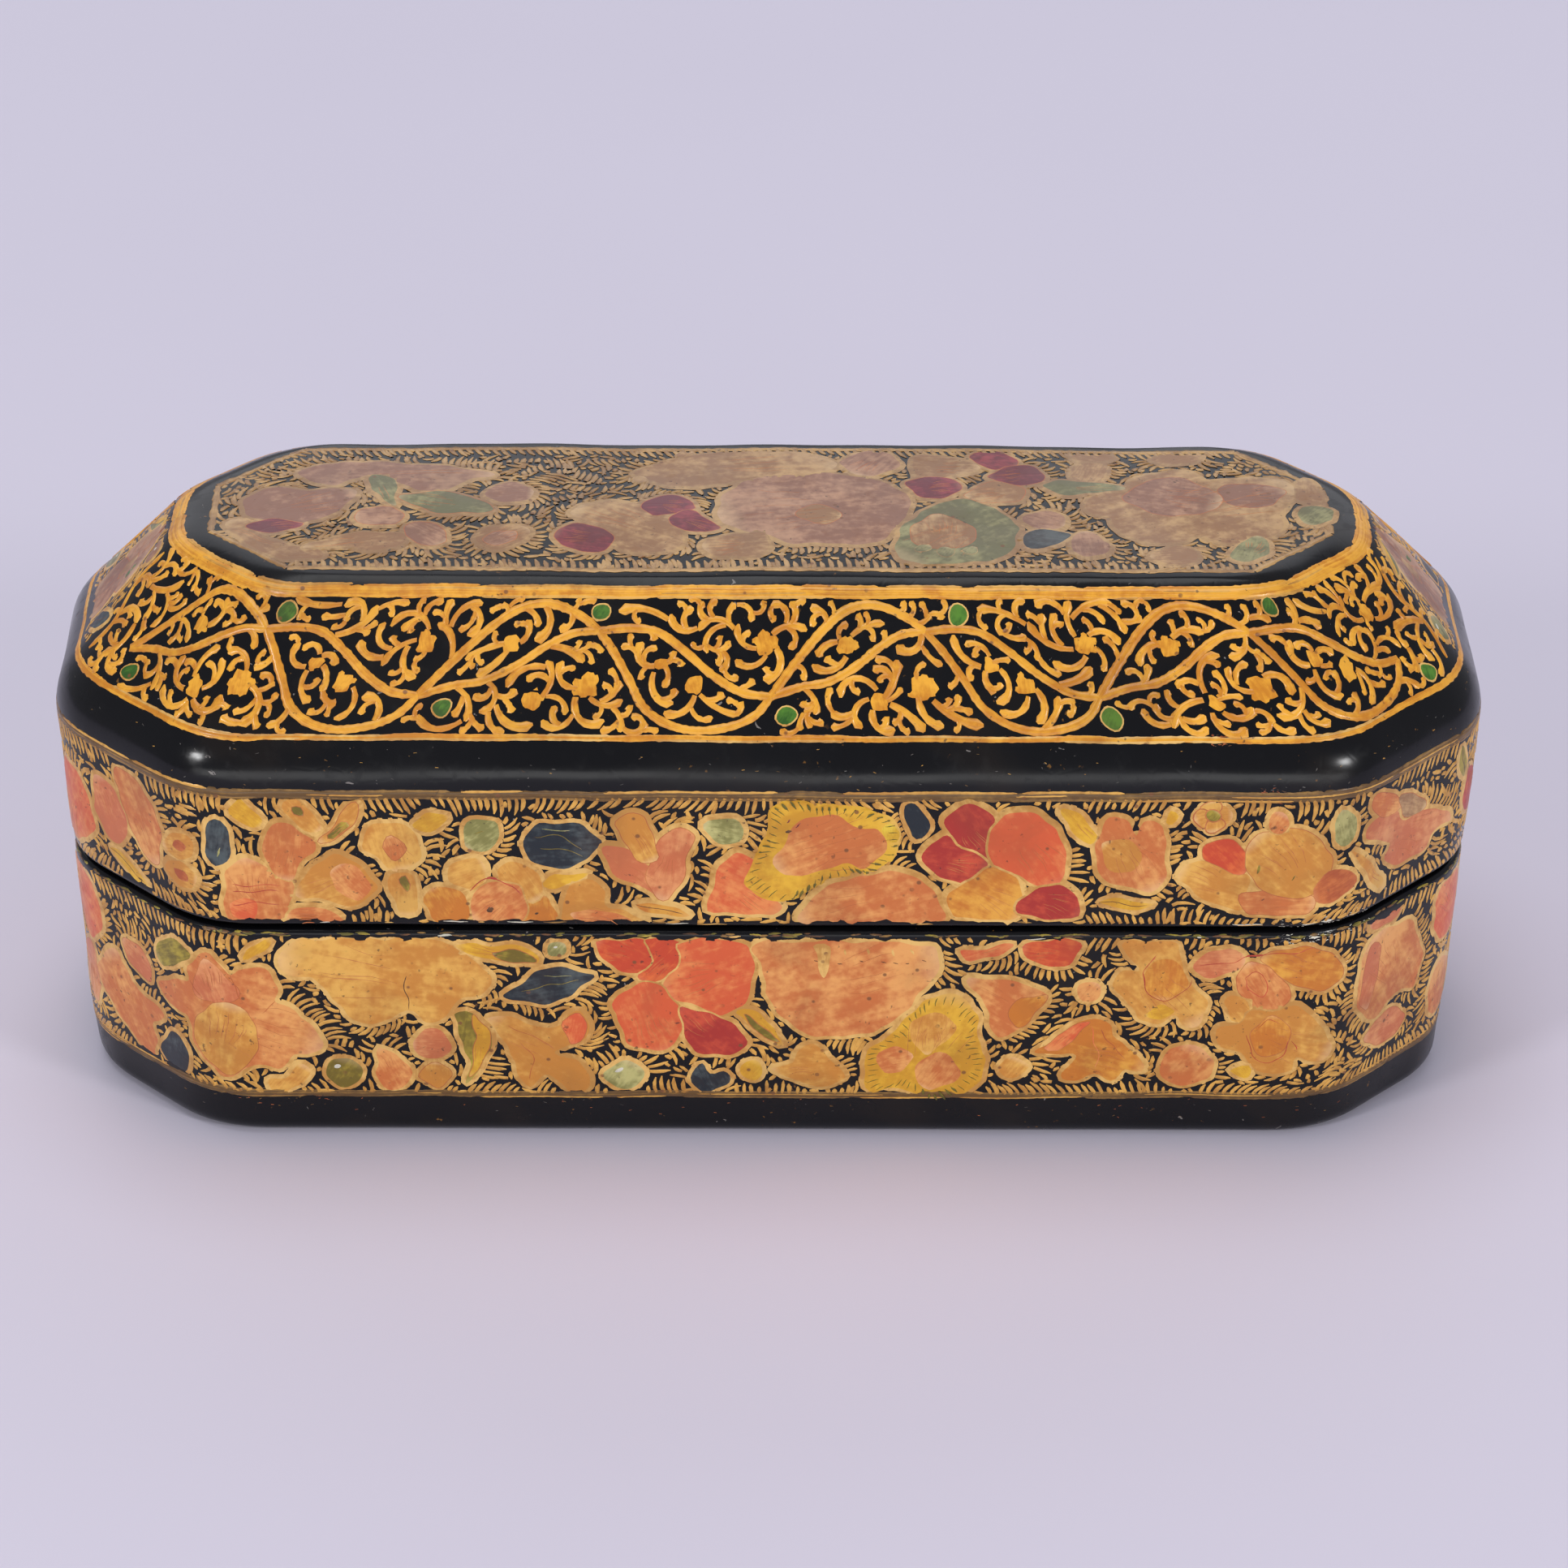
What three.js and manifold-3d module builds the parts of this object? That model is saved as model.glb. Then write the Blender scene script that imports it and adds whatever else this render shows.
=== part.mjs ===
// A lacquered papier-mache snuff box: a moulded base, a collar glued inside its rim,
// and a lid that slides down over the collar and lifts straight off.
// Millimetres, +Z up, the length along X. The origin is the middle of the foot.

import * as THREE from "three";
import { mergeVertices } from "three/addons/utils/BufferGeometryUtils.js";
import Module from "manifold-3d";

// Outside of the box at the seam
const length = 100;
const width = 38.2;
const cornerCut = 10.2; // each corner is cut back this far along X and along Y
const cornerRadius = 9; // the soft upright edges between the walls

// Base
const baseHeight = 18.5; // foot to rim
const footTaperEnds = 0.8; // each end wall draws in this far towards the foot
const footTaperSides = 2.3; // and each side wall this far
const footRounding = 1.3; // reach of the soft edge round the foot
const floorThickness = 2.2;
const wall = 2; // the base's wall beside the collar

// Lid
const seamGap = 0.3; // the lid's edge rests this far over the rim
const skirtHeight = 12.5; // lid's edge to the shoulder
const skirtSwellEnds = 0.75; // the skirt's ends lean out this far between the seam and the shoulder
const skirtSwellSides = 0.35; // and its sides this far
const slopeRise = 10.6; // shoulder to the edge of the top
const slopeRun = 8.9; // and this far inwards
const topCornerCut = 6.8;
const topCornerRadius = 7;
const topCrown = 0.3; // the middle of the top stands this far over its edge
const crownShare = 0.6; // the ring of the top that shapes its crown, as a share of the top
const topThickness = 2;
const shoulderRounding = 2;
const topRounding = 2.2;
const lipRounding = 0.6; // the edges of the rim and of the lid, beside the seam

// Collar
const collarThickness = 1.4;
const collarRise = 5; // it stands this far over the rim
const collarDepth = 8; // and reaches this far down behind the wall
const collarRounding = 0.5; // its upper edge, which leads the lid on
const glueGap = 0.3; // between the collar and the base
const lidClearance = 0.3; // between the collar and the lid

// Fineness of the curves
const cornerSteps = 6;
const roundingSteps = 4;

const mitre = 2 - Math.SQRT2; // how much a corner cut shortens when the outline is drawn in by one
const rimHeight = baseHeight;
const lidEdgeHeight = rimHeight + seamGap;
const shoulderHeight = lidEdgeHeight + skirtHeight;
const topHeight = shoulderHeight + slopeRise;
const collarInset = wall + glueGap; // from the outside of the seam to the outside of the collar
const cavityInset = collarInset + collarThickness;
const lidWall = collarInset - lidClearance;
const past = 1; // a cutting solid runs this far past the face that it opens

const wasm = await Module();
wasm.setup();

// A level is one horizontal outline: half its length, half its width, its corner cut,
// the radius of its corners and its height.
function level(x, y, cut, radius, z) {
  return { x, y, cut, radius, z };
}

// The outline at the seam, drawn in by an inset, at a height.
function seamLevel(inset, z) {
  const radius = Math.max(cornerRadius - inset, cornerRadius / 4);
  return level(length / 2 - inset, width / 2 - inset, cornerCut - mitre * inset, radius, z);
}

// A level drawn in by its own amounts along X and along Y.
function drawnIn(from, alongX, alongY, z = from.z) {
  const cut = from.cut - (mitre * (alongX + alongY)) / 2;
  return { ...from, x: from.x - alongX, y: from.y - alongY, cut, z };
}

// A level shrunk towards its middle, for the nearly flat top.
function shrunk(from, share, z) {
  return level(from.x * share, from.y * share, from.cut * share, from.radius * share, z);
}

function mix(a, b, t) {
  const blended = {};
  for (const key of Object.keys(a)) {
    blended[key] = THREE.MathUtils.lerp(a[key], b[key], t);
  }
  return blended;
}

function distanceBetween(a, b) {
  return Math.hypot(a.x - b.x, a.z - b.z);
}

// Rounds one level of a stack off: the levels that replace it follow a curve that leaves
// the stack at the reach before it and joins it again at the reach after it.
function rounded(before, corner, after, reach) {
  const start = mix(corner, before, reach / distanceBetween(corner, before));
  const end = mix(corner, after, reach / distanceBetween(corner, after));
  const curve = [];
  for (let step = 0; step <= roundingSteps; step += 1) {
    const t = step / roundingSteps;
    curve.push(mix(mix(start, corner, t), mix(corner, end, t), t));
  }
  return curve;
}

// The points round a level, anticlockwise from the front of the right end.
function outlinePoints({ x, y, cut, radius }) {
  const quarter = [
    [x, y - cut],
    [x - cut, y],
  ];
  const mirrored = (alongX, alongY) =>
    quarter.map(([px, py]) => new THREE.Vector2(px * alongX, py * alongY));
  const corners = [
    ...mirrored(1, -1).reverse(),
    ...mirrored(1, 1),
    ...mirrored(-1, 1).reverse(),
    ...mirrored(-1, -1),
  ];
  const tangent = radius * Math.tan(Math.PI / 8);
  const shape = new THREE.Shape();
  corners.forEach((corner, index) => {
    const last = corners[(index + corners.length - 1) % corners.length];
    const next = corners[(index + 1) % corners.length];
    const start = corner.clone().add(last.clone().sub(corner).setLength(tangent));
    const end = corner.clone().add(next.clone().sub(corner).setLength(tangent));
    if (index === 0) {
      shape.moveTo(start.x, start.y);
    } else {
      shape.lineTo(start.x, start.y);
    }
    shape.quadraticCurveTo(corner.x, corner.y, end.x, end.y);
  });
  return shape.getPoints(cornerSteps);
}

// A closed solid through a stack of levels, lowest first, capped flat at both ends.
function loft(levels) {
  const rings = levels.map((one) => outlinePoints(one));
  const around = rings[0].length;
  const positions = levels.flatMap((one, row) => rings[row].flatMap((p) => [p.x, p.y, one.z]));
  const bottom = levels.length * around;
  const top = bottom + 1;
  positions.push(0, 0, levels[0].z, 0, 0, levels.at(-1).z);
  const index = [];
  for (let i = 0; i < around; i += 1) {
    const next = (i + 1) % around;
    for (let row = 0; row + 1 < levels.length; row += 1) {
      const low = row * around;
      const high = low + around;
      index.push(low + i, low + next, high + next);
      index.push(low + i, high + next, high + i);
    }
    index.push(bottom, next, i);
    index.push(top, bottom - around + i, bottom - around + next);
  }
  const geometry = new THREE.BufferGeometry();
  geometry.setAttribute("position", new THREE.Float32BufferAttribute(positions, 3));
  geometry.setIndex(index);
  return geometry;
}

function toSolid(geometry) {
  const bare = geometry.clone();
  bare.deleteAttribute("normal");
  bare.deleteAttribute("uv");
  const merged = mergeVertices(bare);
  const vertProperties = merged.attributes.position.array;
  const triVerts = new Uint32Array(merged.index.array);
  return new wasm.Manifold(new wasm.Mesh({ numProp: 3, vertProperties, triVerts }));
}

function toGeometry(solid) {
  const { vertProperties, triVerts } = solid.getMesh();
  const geometry = new THREE.BufferGeometry();
  geometry.setAttribute("position", new THREE.BufferAttribute(vertProperties, 3));
  geometry.setIndex(new THREE.BufferAttribute(triVerts, 1));
  geometry.computeVertexNormals();
  return geometry;
}

// A stack of levels with other stacks cut out of it.
function hollowed(outside, ...insides) {
  let solid = toSolid(loft(outside));
  for (const inside of insides) {
    solid = solid.subtract(toSolid(loft(inside)));
  }
  return toGeometry(solid);
}

// The base's outside, from the flat of the foot to the rounded lip.
function baseOutside() {
  const foot = drawnIn(seamLevel(0, 0), footTaperEnds, footTaperSides);
  const flat = drawnIn(foot, footRounding * 2, footRounding * 2);
  const bellyHeight = baseHeight / 2;
  const belly = drawnIn(seamLevel(0, bellyHeight), footTaperEnds / 4, footTaperSides / 4);
  const rim = seamLevel(0, rimHeight);
  const lip = seamLevel(lipRounding * 2, rimHeight);
  return [
    ...rounded(flat, foot, belly, footRounding),
    ...rounded(foot, belly, rim, bellyHeight / 2),
    ...rounded(belly, rim, lip, lipRounding),
  ];
}

// The seat for the collar, cut into the top of the base's wall.
function collarBay() {
  return [seamLevel(wall, rimHeight - collarDepth - glueGap), seamLevel(wall, rimHeight + past)];
}

// The well for the snuff: in line with the collar above, drawing in as the foot does.
function well() {
  const mouth = seamLevel(cavityInset, rimHeight + past);
  const floor = drawnIn(seamLevel(cavityInset, floorThickness), footTaperEnds, footTaperSides);
  const middle = drawnIn(floor, footRounding * 2, footRounding * 2);
  return [...rounded(middle, floor, mouth, footRounding), mouth];
}

function collarRing() {
  const low = rimHeight - collarDepth;
  const high = rimHeight + collarRise;
  const foot = seamLevel(collarInset, low);
  const crest = seamLevel(collarInset, high);
  const outside = [foot, ...rounded(foot, crest, seamLevel(cavityInset, high), collarRounding)];
  const inside = [seamLevel(cavityInset, low - past), seamLevel(cavityInset, high + past)];
  return hollowed(outside, inside);
}

function shoulderLevel(inset, z) {
  return drawnIn(seamLevel(0, z), inset - skirtSwellEnds, inset - skirtSwellSides);
}

function topLevel(inset, z) {
  const edge = shoulderLevel(slopeRun, z);
  return drawnIn({ ...edge, cut: topCornerCut, radius: topCornerRadius }, inset, inset);
}

function lidOutside() {
  const lip = seamLevel(lipRounding * 2, lidEdgeHeight);
  const edge = seamLevel(0, lidEdgeHeight);
  const shoulder = shoulderLevel(0, shoulderHeight);
  const top = topLevel(0, topHeight);
  const crown = shrunk(top, crownShare, topHeight + topCrown * (1 - crownShare ** 2));
  const middle = shrunk(top, crownShare / 3, topHeight + topCrown);
  return [
    ...rounded(lip, edge, shoulder, lipRounding),
    ...rounded(edge, shoulder, top, shoulderRounding),
    ...rounded(shoulder, top, crown, topRounding),
    crown,
    middle,
  ];
}

// The hollow of the lid runs a wall's thickness inside the skirt, the slope and the top.
function lidInside() {
  const slopeAngle = Math.atan2(slopeRise, slopeRun);
  const shoulderDrop = lidWall * Math.tan((Math.PI / 2 - slopeAngle) / 2);
  const ceilingInset = topThickness * Math.tan(slopeAngle / 2);
  return [
    seamLevel(lidWall, lidEdgeHeight - past),
    seamLevel(lidWall, rimHeight + collarRise + lidClearance),
    shoulderLevel(lidWall, shoulderHeight - shoulderDrop),
    topLevel(ceilingInset, topHeight - topThickness),
  ];
}

function lacquered(name, geometry, colour, roughness) {
  const material = new THREE.MeshStandardMaterial({ color: colour, roughness, metalness: 0 });
  const mesh = new THREE.Mesh(geometry, material);
  mesh.name = name;
  return mesh;
}

const paintedOchre = 0xc08a4a;
const blackLacquer = 0x161618;
const varnished = 0.27; // roughness of the varnished outsides

const baseShell = hollowed(baseOutside(), collarBay(), well());
const lidShell = hollowed(lidOutside(), lidInside());

const base = new THREE.Group();
base.add(lacquered("base_shell", baseShell, paintedOchre, varnished));
base.add(lacquered("inner_collar", collarRing(), blackLacquer, varnished));

const lid = new THREE.Group();
lid.add(lacquered("lid_shell", lidShell, paintedOchre, varnished));

const snuffBox = new THREE.Group();
snuffBox.add(base, lid);

export default snuffBox;
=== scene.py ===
"""A lacquered papier-mache snuff box, painted with flowers and gold scrolls on black."""

import math
import random

import bpy
import numpy as np
from mathutils import Matrix, Vector
from mathutils.geometry import delaunay_2d_cdt


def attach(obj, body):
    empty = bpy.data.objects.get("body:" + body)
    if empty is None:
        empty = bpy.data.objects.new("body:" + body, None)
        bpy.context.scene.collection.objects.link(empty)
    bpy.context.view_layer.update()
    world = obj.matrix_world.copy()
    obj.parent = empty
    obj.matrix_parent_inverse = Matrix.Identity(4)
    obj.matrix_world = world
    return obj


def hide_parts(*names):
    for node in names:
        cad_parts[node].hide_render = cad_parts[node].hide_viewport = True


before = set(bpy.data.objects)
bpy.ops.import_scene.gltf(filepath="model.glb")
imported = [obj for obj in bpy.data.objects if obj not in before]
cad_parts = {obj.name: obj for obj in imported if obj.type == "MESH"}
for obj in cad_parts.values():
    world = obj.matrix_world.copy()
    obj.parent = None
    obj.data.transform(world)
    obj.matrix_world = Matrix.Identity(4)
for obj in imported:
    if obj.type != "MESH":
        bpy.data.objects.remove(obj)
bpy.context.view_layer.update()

MM = 0.001  # the box is laid out in millimetres and built in metres

# The box in mm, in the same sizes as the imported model
LENGTH, WIDTH, CORNER_CUT, CORNER_RADIUS = 100, 38.2, 10.2, 9
RIM = 18.5
FOOT_TAPER_ENDS, FOOT_TAPER_SIDES, FOOT_ROUNDING = 0.8, 2.3, 1.3
WALL, FLOOR_THICKNESS = 2, 2.2
PLAY = 0.3  # the gap at the seam and round the collar
LID_EDGE = RIM + PLAY
SHOULDER, SWELL_ENDS, SWELL_SIDES = LID_EDGE + 12.5, 0.75, 0.35
TOP, SLOPE_RUN, TOP_CUT, TOP_RADIUS = SHOULDER + 10.6, 8.9, 6.8, 7
CROWN, TOP_THICKNESS = 0.3, 2
SHOULDER_ROUNDING, TOP_ROUNDING, LIP_ROUNDING = 2, 2.2, 0.6
COLLAR_INSET, COLLAR_THICKNESS, COLLAR_DEPTH, COLLAR_RISE = 2.3, 1.4, 8, 5
MITRE = 2 - math.sqrt(2)  # how much shorter a corner's cut gets for each mm drawn in
CORNERS, ROUNDING_STEPS = 8, 10


def level(x, y, cut, radius, z):
    """One horizontal outline: half length, half width, corner cut, corner radius, height."""
    return np.array([x, y, cut, radius, z], float)


def seam_level(inset, z):
    radius = max(CORNER_RADIUS - inset, CORNER_RADIUS / 4)
    return level(LENGTH / 2 - inset, WIDTH / 2 - inset, CORNER_CUT - MITRE * inset, radius, z)


def drawn_in(from_level, along_x, along_y):
    return from_level - np.array([along_x, along_y, MITRE * (along_x + along_y) / 2, 0, 0])


def shoulder_level(inset, z):
    return drawn_in(seam_level(0, z), inset - SWELL_ENDS, inset - SWELL_SIDES)


def top_level(inset, z):
    edge = shoulder_level(SLOPE_RUN, z)
    edge[2:4] = TOP_CUT, TOP_RADIUS
    return drawn_in(edge, inset, inset)


def rounded(before, corner, after, reach):
    """The levels that take a corner of the profile round in a curve."""
    start = corner + (before - corner) * reach / np.hypot(*(corner - before)[[0, 4]])
    end = corner + (after - corner) * reach / np.hypot(*(corner - after)[[0, 4]])
    turn = np.linspace(0, 1, ROUNDING_STEPS + 1)[:, None]
    return list((start * (1 - turn) + corner * turn) * (1 - turn) + (corner * (1 - turn) + end * turn) * turn)


def ring_corners(one):
    x, y, cut = one[:3]
    a, b = x - cut, y - cut
    return np.array([(a, -y), (x, -b), (x, b), (a, y), (-a, y), (-x, b), (-x, -b), (-a, -y)])


def ring_parts(one):
    """Where each rounded corner of a level starts, turns and ends."""
    corner = ring_corners(one)
    tangent = one[3] * math.tan(math.pi / 8)
    back, on = np.roll(corner, 1, 0) - corner, np.roll(corner, -1, 0) - corner
    start = corner + back / np.linalg.norm(back, axis=1)[:, None] * tangent
    end = corner + on / np.linalg.norm(on, axis=1)[:, None] * tangent
    return start, corner, end


def round_knots():
    """Distances round the seam, from the middle of the front, where a side or corner begins."""
    start, corner, end = ring_parts(seam_level(0, 0))
    turn = np.linspace(0, 1, 17)[:, None]
    lengths = [start[0][0]]
    for i in range(CORNERS):
        curve = start[i] * (1 - turn) ** 2 + 2 * turn * (1 - turn) * corner[i] + end[i] * turn**2
        lengths.append(np.linalg.norm(np.diff(curve, axis=0), axis=1).sum())
        lengths.append(np.linalg.norm(start[i + 1] - end[i]) if i + 1 < CORNERS else -end[i][0])
    return np.concatenate([[0], np.cumsum(lengths)])


KNOTS = round_knots()
ROUND = KNOTS[-1]


def ring(one, p):
    """The points of a level at the distances p round the box."""
    start, corner, end = ring_parts(one)
    middle = np.array([[0, -one[1]]])
    leave, reach = np.concatenate([middle, end]), np.concatenate([start, middle])
    p = np.mod(p, ROUND)
    part = np.clip(np.searchsorted(KNOTS, p, side="right") - 1, 0, 2 * CORNERS)
    u = ((p - KNOTS[part]) / (KNOTS[part + 1] - KNOTS[part]))[:, None]
    side, bend = part // 2, np.minimum(part // 2, CORNERS - 1)
    line = leave[side] * (1 - u) + reach[side] * u
    curve = start[bend] * (1 - u) ** 2 + 2 * u * (1 - u) * corner[bend] + end[bend] * u**2
    return np.where((part % 2 == 0)[:, None], line, curve)


def crown_height(x, y):
    """Height of the slightly crowned top."""
    edge = top_level(0, TOP)
    a, b = np.abs(x) / edge[0], np.abs(y) / edge[1]
    c = (np.abs(x) + np.abs(y)) / (edge[0] + edge[1] - edge[2])
    return TOP + CROWN * (1 - (a**8 + b**8 + c**8) ** 0.25)


def hand_made(points):
    """How far the moulded surface wanders from true, by less than a hair over a few cm."""
    x, y, z = points[..., 0], points[..., 1], points[..., 2]
    wander = (
        0.045 * np.sin(x * 0.21 + 1.3 * np.sin(y * 0.13 + z * 0.2))
        + 0.035 * np.sin(x * 0.37 - z * 0.31 + 2.1)
        + 0.03 * np.sin(y * 0.45 + z * 0.52 + x * 0.11 + 0.7)
        + 0.02 * np.sin(x * 0.83 + y * 0.6 - z * 0.7)
    )
    near_seam = np.clip(np.abs(z - RIM - PLAY / 2) / 1.6, 0.15, 1)
    return wander * near_seam * np.clip(z / 2, 0, 1)


def normals_of(grid):
    across, up = np.gradient(grid, axis=1), np.gradient(grid, axis=0)
    normal = np.cross(across, up)
    return normal / np.maximum(np.linalg.norm(normal, axis=-1), 1e-12)[..., None]


def profile_reach(levels):
    """How far up the profile each level lies."""
    steps = np.diff(np.array(levels), axis=0)
    return np.concatenate([[0], np.cumsum(np.hypot(steps[:, 1], steps[:, 4]))])


class Wall:
    """The outside of the base or the lid. p runs round the box and t up its profile."""

    COLUMN, ROW = 0.25, 0.1

    def __init__(self, levels, crowned_from=None):
        t, levels = profile_reach(levels), np.array(levels)
        self.height = t[-1]
        self.columns = np.arange(-2, ROUND + 2, self.COLUMN)
        self.rows = np.arange(0, self.height + self.ROW / 2, self.ROW)
        smooth = np.stack([np.interp(self.rows, t, levels[:, i]) for i in range(5)], 1)
        grid = np.empty((len(self.rows), len(self.columns), 3))
        for row, one in enumerate(smooth):
            grid[row, :, :2] = ring(one, self.columns)
            grid[row, :, 2] = one[4]
            if crowned_from is not None and self.rows[row] > crowned_from:
                grid[row, :, 2] = crown_height(grid[row, :, 0], grid[row, :, 1])
        grid += normals_of(grid) * hand_made(grid)[..., None]
        self.grid, self.normals = grid, normals_of(grid)

    def place(self, flat, lift=0.0):
        """Points and normals on the wall, in mm, for (p, t) pairs raised by lift."""
        flat = np.asarray(flat, float)
        column = (np.mod(flat[:, 0], ROUND) - self.columns[0]) / self.COLUMN
        row = np.clip(flat[:, 1] / self.ROW, 0, len(self.rows) - 1.001)
        j, i = column.astype(int), row.astype(int)
        u, v = (column - j)[:, None], (row - i)[:, None]

        def mixed(g):
            low = g[i, j] * (1 - u) + g[i, j + 1] * u
            high = g[i + 1, j] * (1 - u) + g[i + 1, j + 1] * u
            return low * (1 - v) + high * v

        normal = mixed(self.normals)
        normal /= np.linalg.norm(normal, axis=1)[:, None]
        return mixed(self.grid) + normal * np.reshape(lift, (-1, 1)), normal


class TopFace:
    """The top of the lid, painted in plain x and y."""

    CLEAR = 0.035  # keeps the paint above the rounded edge's first facets

    def place(self, flat, lift=0.0):
        flat = np.asarray(flat, float)

        def bare(x, y):
            points = np.stack([x, y, crown_height(x, y)], 1)
            points[:, 2] += hand_made(points)
            return points

        x, y = flat.T
        step = 0.05
        across, up = bare(x + step, y) - bare(x - step, y), bare(x, y + step) - bare(x, y - step)
        normal = np.cross(across, up)
        normal /= np.linalg.norm(normal, axis=1)[:, None]
        return bare(x, y) + normal * (np.reshape(lift, (-1, 1)) + self.CLEAR), normal


def base_levels():
    foot = drawn_in(seam_level(0, 0), FOOT_TAPER_ENDS, FOOT_TAPER_SIDES)
    flat = drawn_in(foot, FOOT_ROUNDING * 2, FOOT_ROUNDING * 2)
    belly = drawn_in(seam_level(0, RIM / 2), FOOT_TAPER_ENDS / 4, FOOT_TAPER_SIDES / 4)
    rim, lip = seam_level(0, RIM), seam_level(LIP_ROUNDING * 2, RIM)
    return (
        rounded(flat, foot, belly, FOOT_ROUNDING)
        + rounded(foot, belly, rim, RIM / 4)
        + rounded(belly, rim, lip, LIP_ROUNDING)
    )


def lid_levels():
    lip, edge = seam_level(LIP_ROUNDING * 2, LID_EDGE), seam_level(0, LID_EDGE)
    shoulder, top = shoulder_level(0, SHOULDER), top_level(0, TOP)
    crown = top * 0.6
    crown[4] = TOP + CROWN * 0.64
    levels = (
        rounded(lip, edge, shoulder, LIP_ROUNDING)
        + rounded(edge, shoulder, top, SHOULDER_ROUNDING)
        + rounded(shoulder, top, crown, TOP_ROUNDING)
    )
    for share in (0.6, 0.2, 0.02):
        smaller = top * share
        smaller[4] = TOP + CROWN * (1 - share**2)
        levels.append(smaller)
    return levels


TOP_EDGE = profile_reach(lid_levels())[3 * ROUNDING_STEPS + 2]  # the end of the third rounding
base_wall = Wall(base_levels())
lid_wall = Wall(lid_levels(), TOP_EDGE)
top_face = TopFace()


# Meshes
BEND_STEPS, STRAIGHT_STEP = 8, 1.3


def add_piece(name, points, faces, materials, body, face_materials=None, normals=None):
    """A mesh piece from points in mm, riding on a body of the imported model."""
    mesh = bpy.data.meshes.new(name)
    mesh.from_pydata((np.asarray(points) * MM).tolist(), [], faces)
    for material in materials:
        mesh.materials.append(material)
    if face_materials is not None:
        mesh.polygons.foreach_set("material_index", np.asarray(face_materials, np.int32))
    mesh.polygons.foreach_set("use_smooth", np.ones(len(mesh.polygons), bool))
    mesh.update()
    if normals is not None:
        mesh.normals_split_custom_set_from_vertices(np.asarray(normals).tolist())
    piece = bpy.data.objects.new(name, mesh)
    bpy.context.scene.collection.objects.link(piece)
    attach(piece, body)
    return piece


def columns_round():
    """Distances round the box for a shell's edge loops, close together in the corners."""
    p = []
    for i in range(2 * CORNERS + 1):
        steps = BEND_STEPS if i % 2 else max(2, round((KNOTS[i + 1] - KNOTS[i]) / STRAIGHT_STEP))
        p.extend(np.linspace(KNOTS[i], KNOTS[i + 1], steps, endpoint=False))
    return np.array(p)


AROUND = columns_round()


def plain_ring(one):
    return np.column_stack([ring(one, AROUND), np.full(len(AROUND), one[4])])


def rows_between(*stops):
    """Profile distances: pairs of a stop and the step used up to it."""
    rows = [stops[0]]
    for stop, step in zip(stops[1::2], stops[2::2]):
        count = max(1, round((stop - rows[-1]) / step))
        rows.extend(np.linspace(rows[-1], stop, count + 1)[1:])
    return rows


def wall_rings(wall, rows):
    return [wall.place(np.column_stack([AROUND, np.full(len(AROUND), t)]))[0] for t in rows]


def shell(name, rings, first_middle, last_middle, materials, body):
    """A closed shell through rings of points, from one middle point to another."""
    count = len(AROUND)
    points = np.concatenate(rings + [np.array([first_middle, last_middle])])
    first, last = len(points) - 2, len(points) - 1
    faces = []
    for i in range(count):
        n = (i + 1) % count
        faces.append((first, n, i))
        for row in range(len(rings) - 1):
            low, high = row * count, (row + 1) * count
            faces.append((low + i, low + n, high + n, high + i))
        end = (len(rings) - 1) * count
        faces.append((last, end + i, end + n))
    return add_piece(name, points, faces, materials, body)


def scaled(points, share, z=None):
    moved = points * np.array([share, share, 1])
    if z is not None:
        moved[:, 2] = z
    return moved


def build_base(material):
    cavity = COLLAR_INSET + COLLAR_THICKNESS
    outside = wall_rings(base_wall, rows_between(0, 2.3, 0.15, 18.9, 0.55, base_wall.height, 0.12))
    underside = [scaled(outside[0], share, 0) for share in (0.3, 0.6, 0.85)]
    bay = RIM - COLLAR_DEPTH - PLAY
    floor = drawn_in(seam_level(cavity, FLOOR_THICKNESS), FOOT_TAPER_ENDS, FOOT_TAPER_SIDES)
    middle = drawn_in(floor, FOOT_ROUNDING * 2, FOOT_ROUNDING * 2)
    mouth = seam_level(cavity, bay)
    well = [plain_ring(one) for one in reversed(rounded(middle, floor, mouth, FOOT_ROUNDING))]
    inside = [plain_ring(seam_level(WALL, RIM)), plain_ring(seam_level(WALL, bay))]
    inside += [plain_ring(mouth)] + well
    inside += [scaled(well[-1], share) for share in (0.8, 0.5, 0.2)]
    piece = shell(
        "base_lacquer",
        underside + outside + inside,
        (0, 0, 0),
        (0, 0, FLOOR_THICKNESS),
        [material],
        "base",
    )
    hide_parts("base_shell")


def build_lid(material):
    rows = rows_between(0, 1.0, 0.12, 10.8, 0.6, 14.8, 0.25, 24, 0.6, TOP_EDGE, 0.16, 34.6, 0.8)
    outside = wall_rings(lid_wall, rows)
    wall = COLLAR_INSET - PLAY
    angle = math.atan2(TOP - SHOULDER, SLOPE_RUN)
    ceiling = top_level(TOP_THICKNESS * math.tan(angle / 2), TOP - TOP_THICKNESS)
    drop = wall * math.tan((math.pi / 2 - angle) / 2)
    low = [
        seam_level(wall, LID_EDGE),
        seam_level(wall, RIM + COLLAR_RISE + PLAY),
        shoulder_level(wall, SHOULDER - drop),
    ]
    inside = [scaled(plain_ring(ceiling), share) for share in (0.2, 0.5, 0.8, 1)]
    inside += [plain_ring(one) for one in reversed(low)]
    piece = shell(
        "lid_lacquer",
        inside + outside,
        (0, 0, TOP - TOP_THICKNESS),
        (0, 0, TOP + CROWN),
        [material],
        "lid",
    )
    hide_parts("lid_shell")


# Materials
def srgb(*colour):
    """A colour chosen on the screen, from 0 to 255, in the numbers of light."""
    channels = [c / 255 for c in colour]
    return tuple(c / 12.92 if c <= 0.04 else ((c + 0.055) / 1.055) ** 2.4 for c in channels) + (1,)


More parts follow.
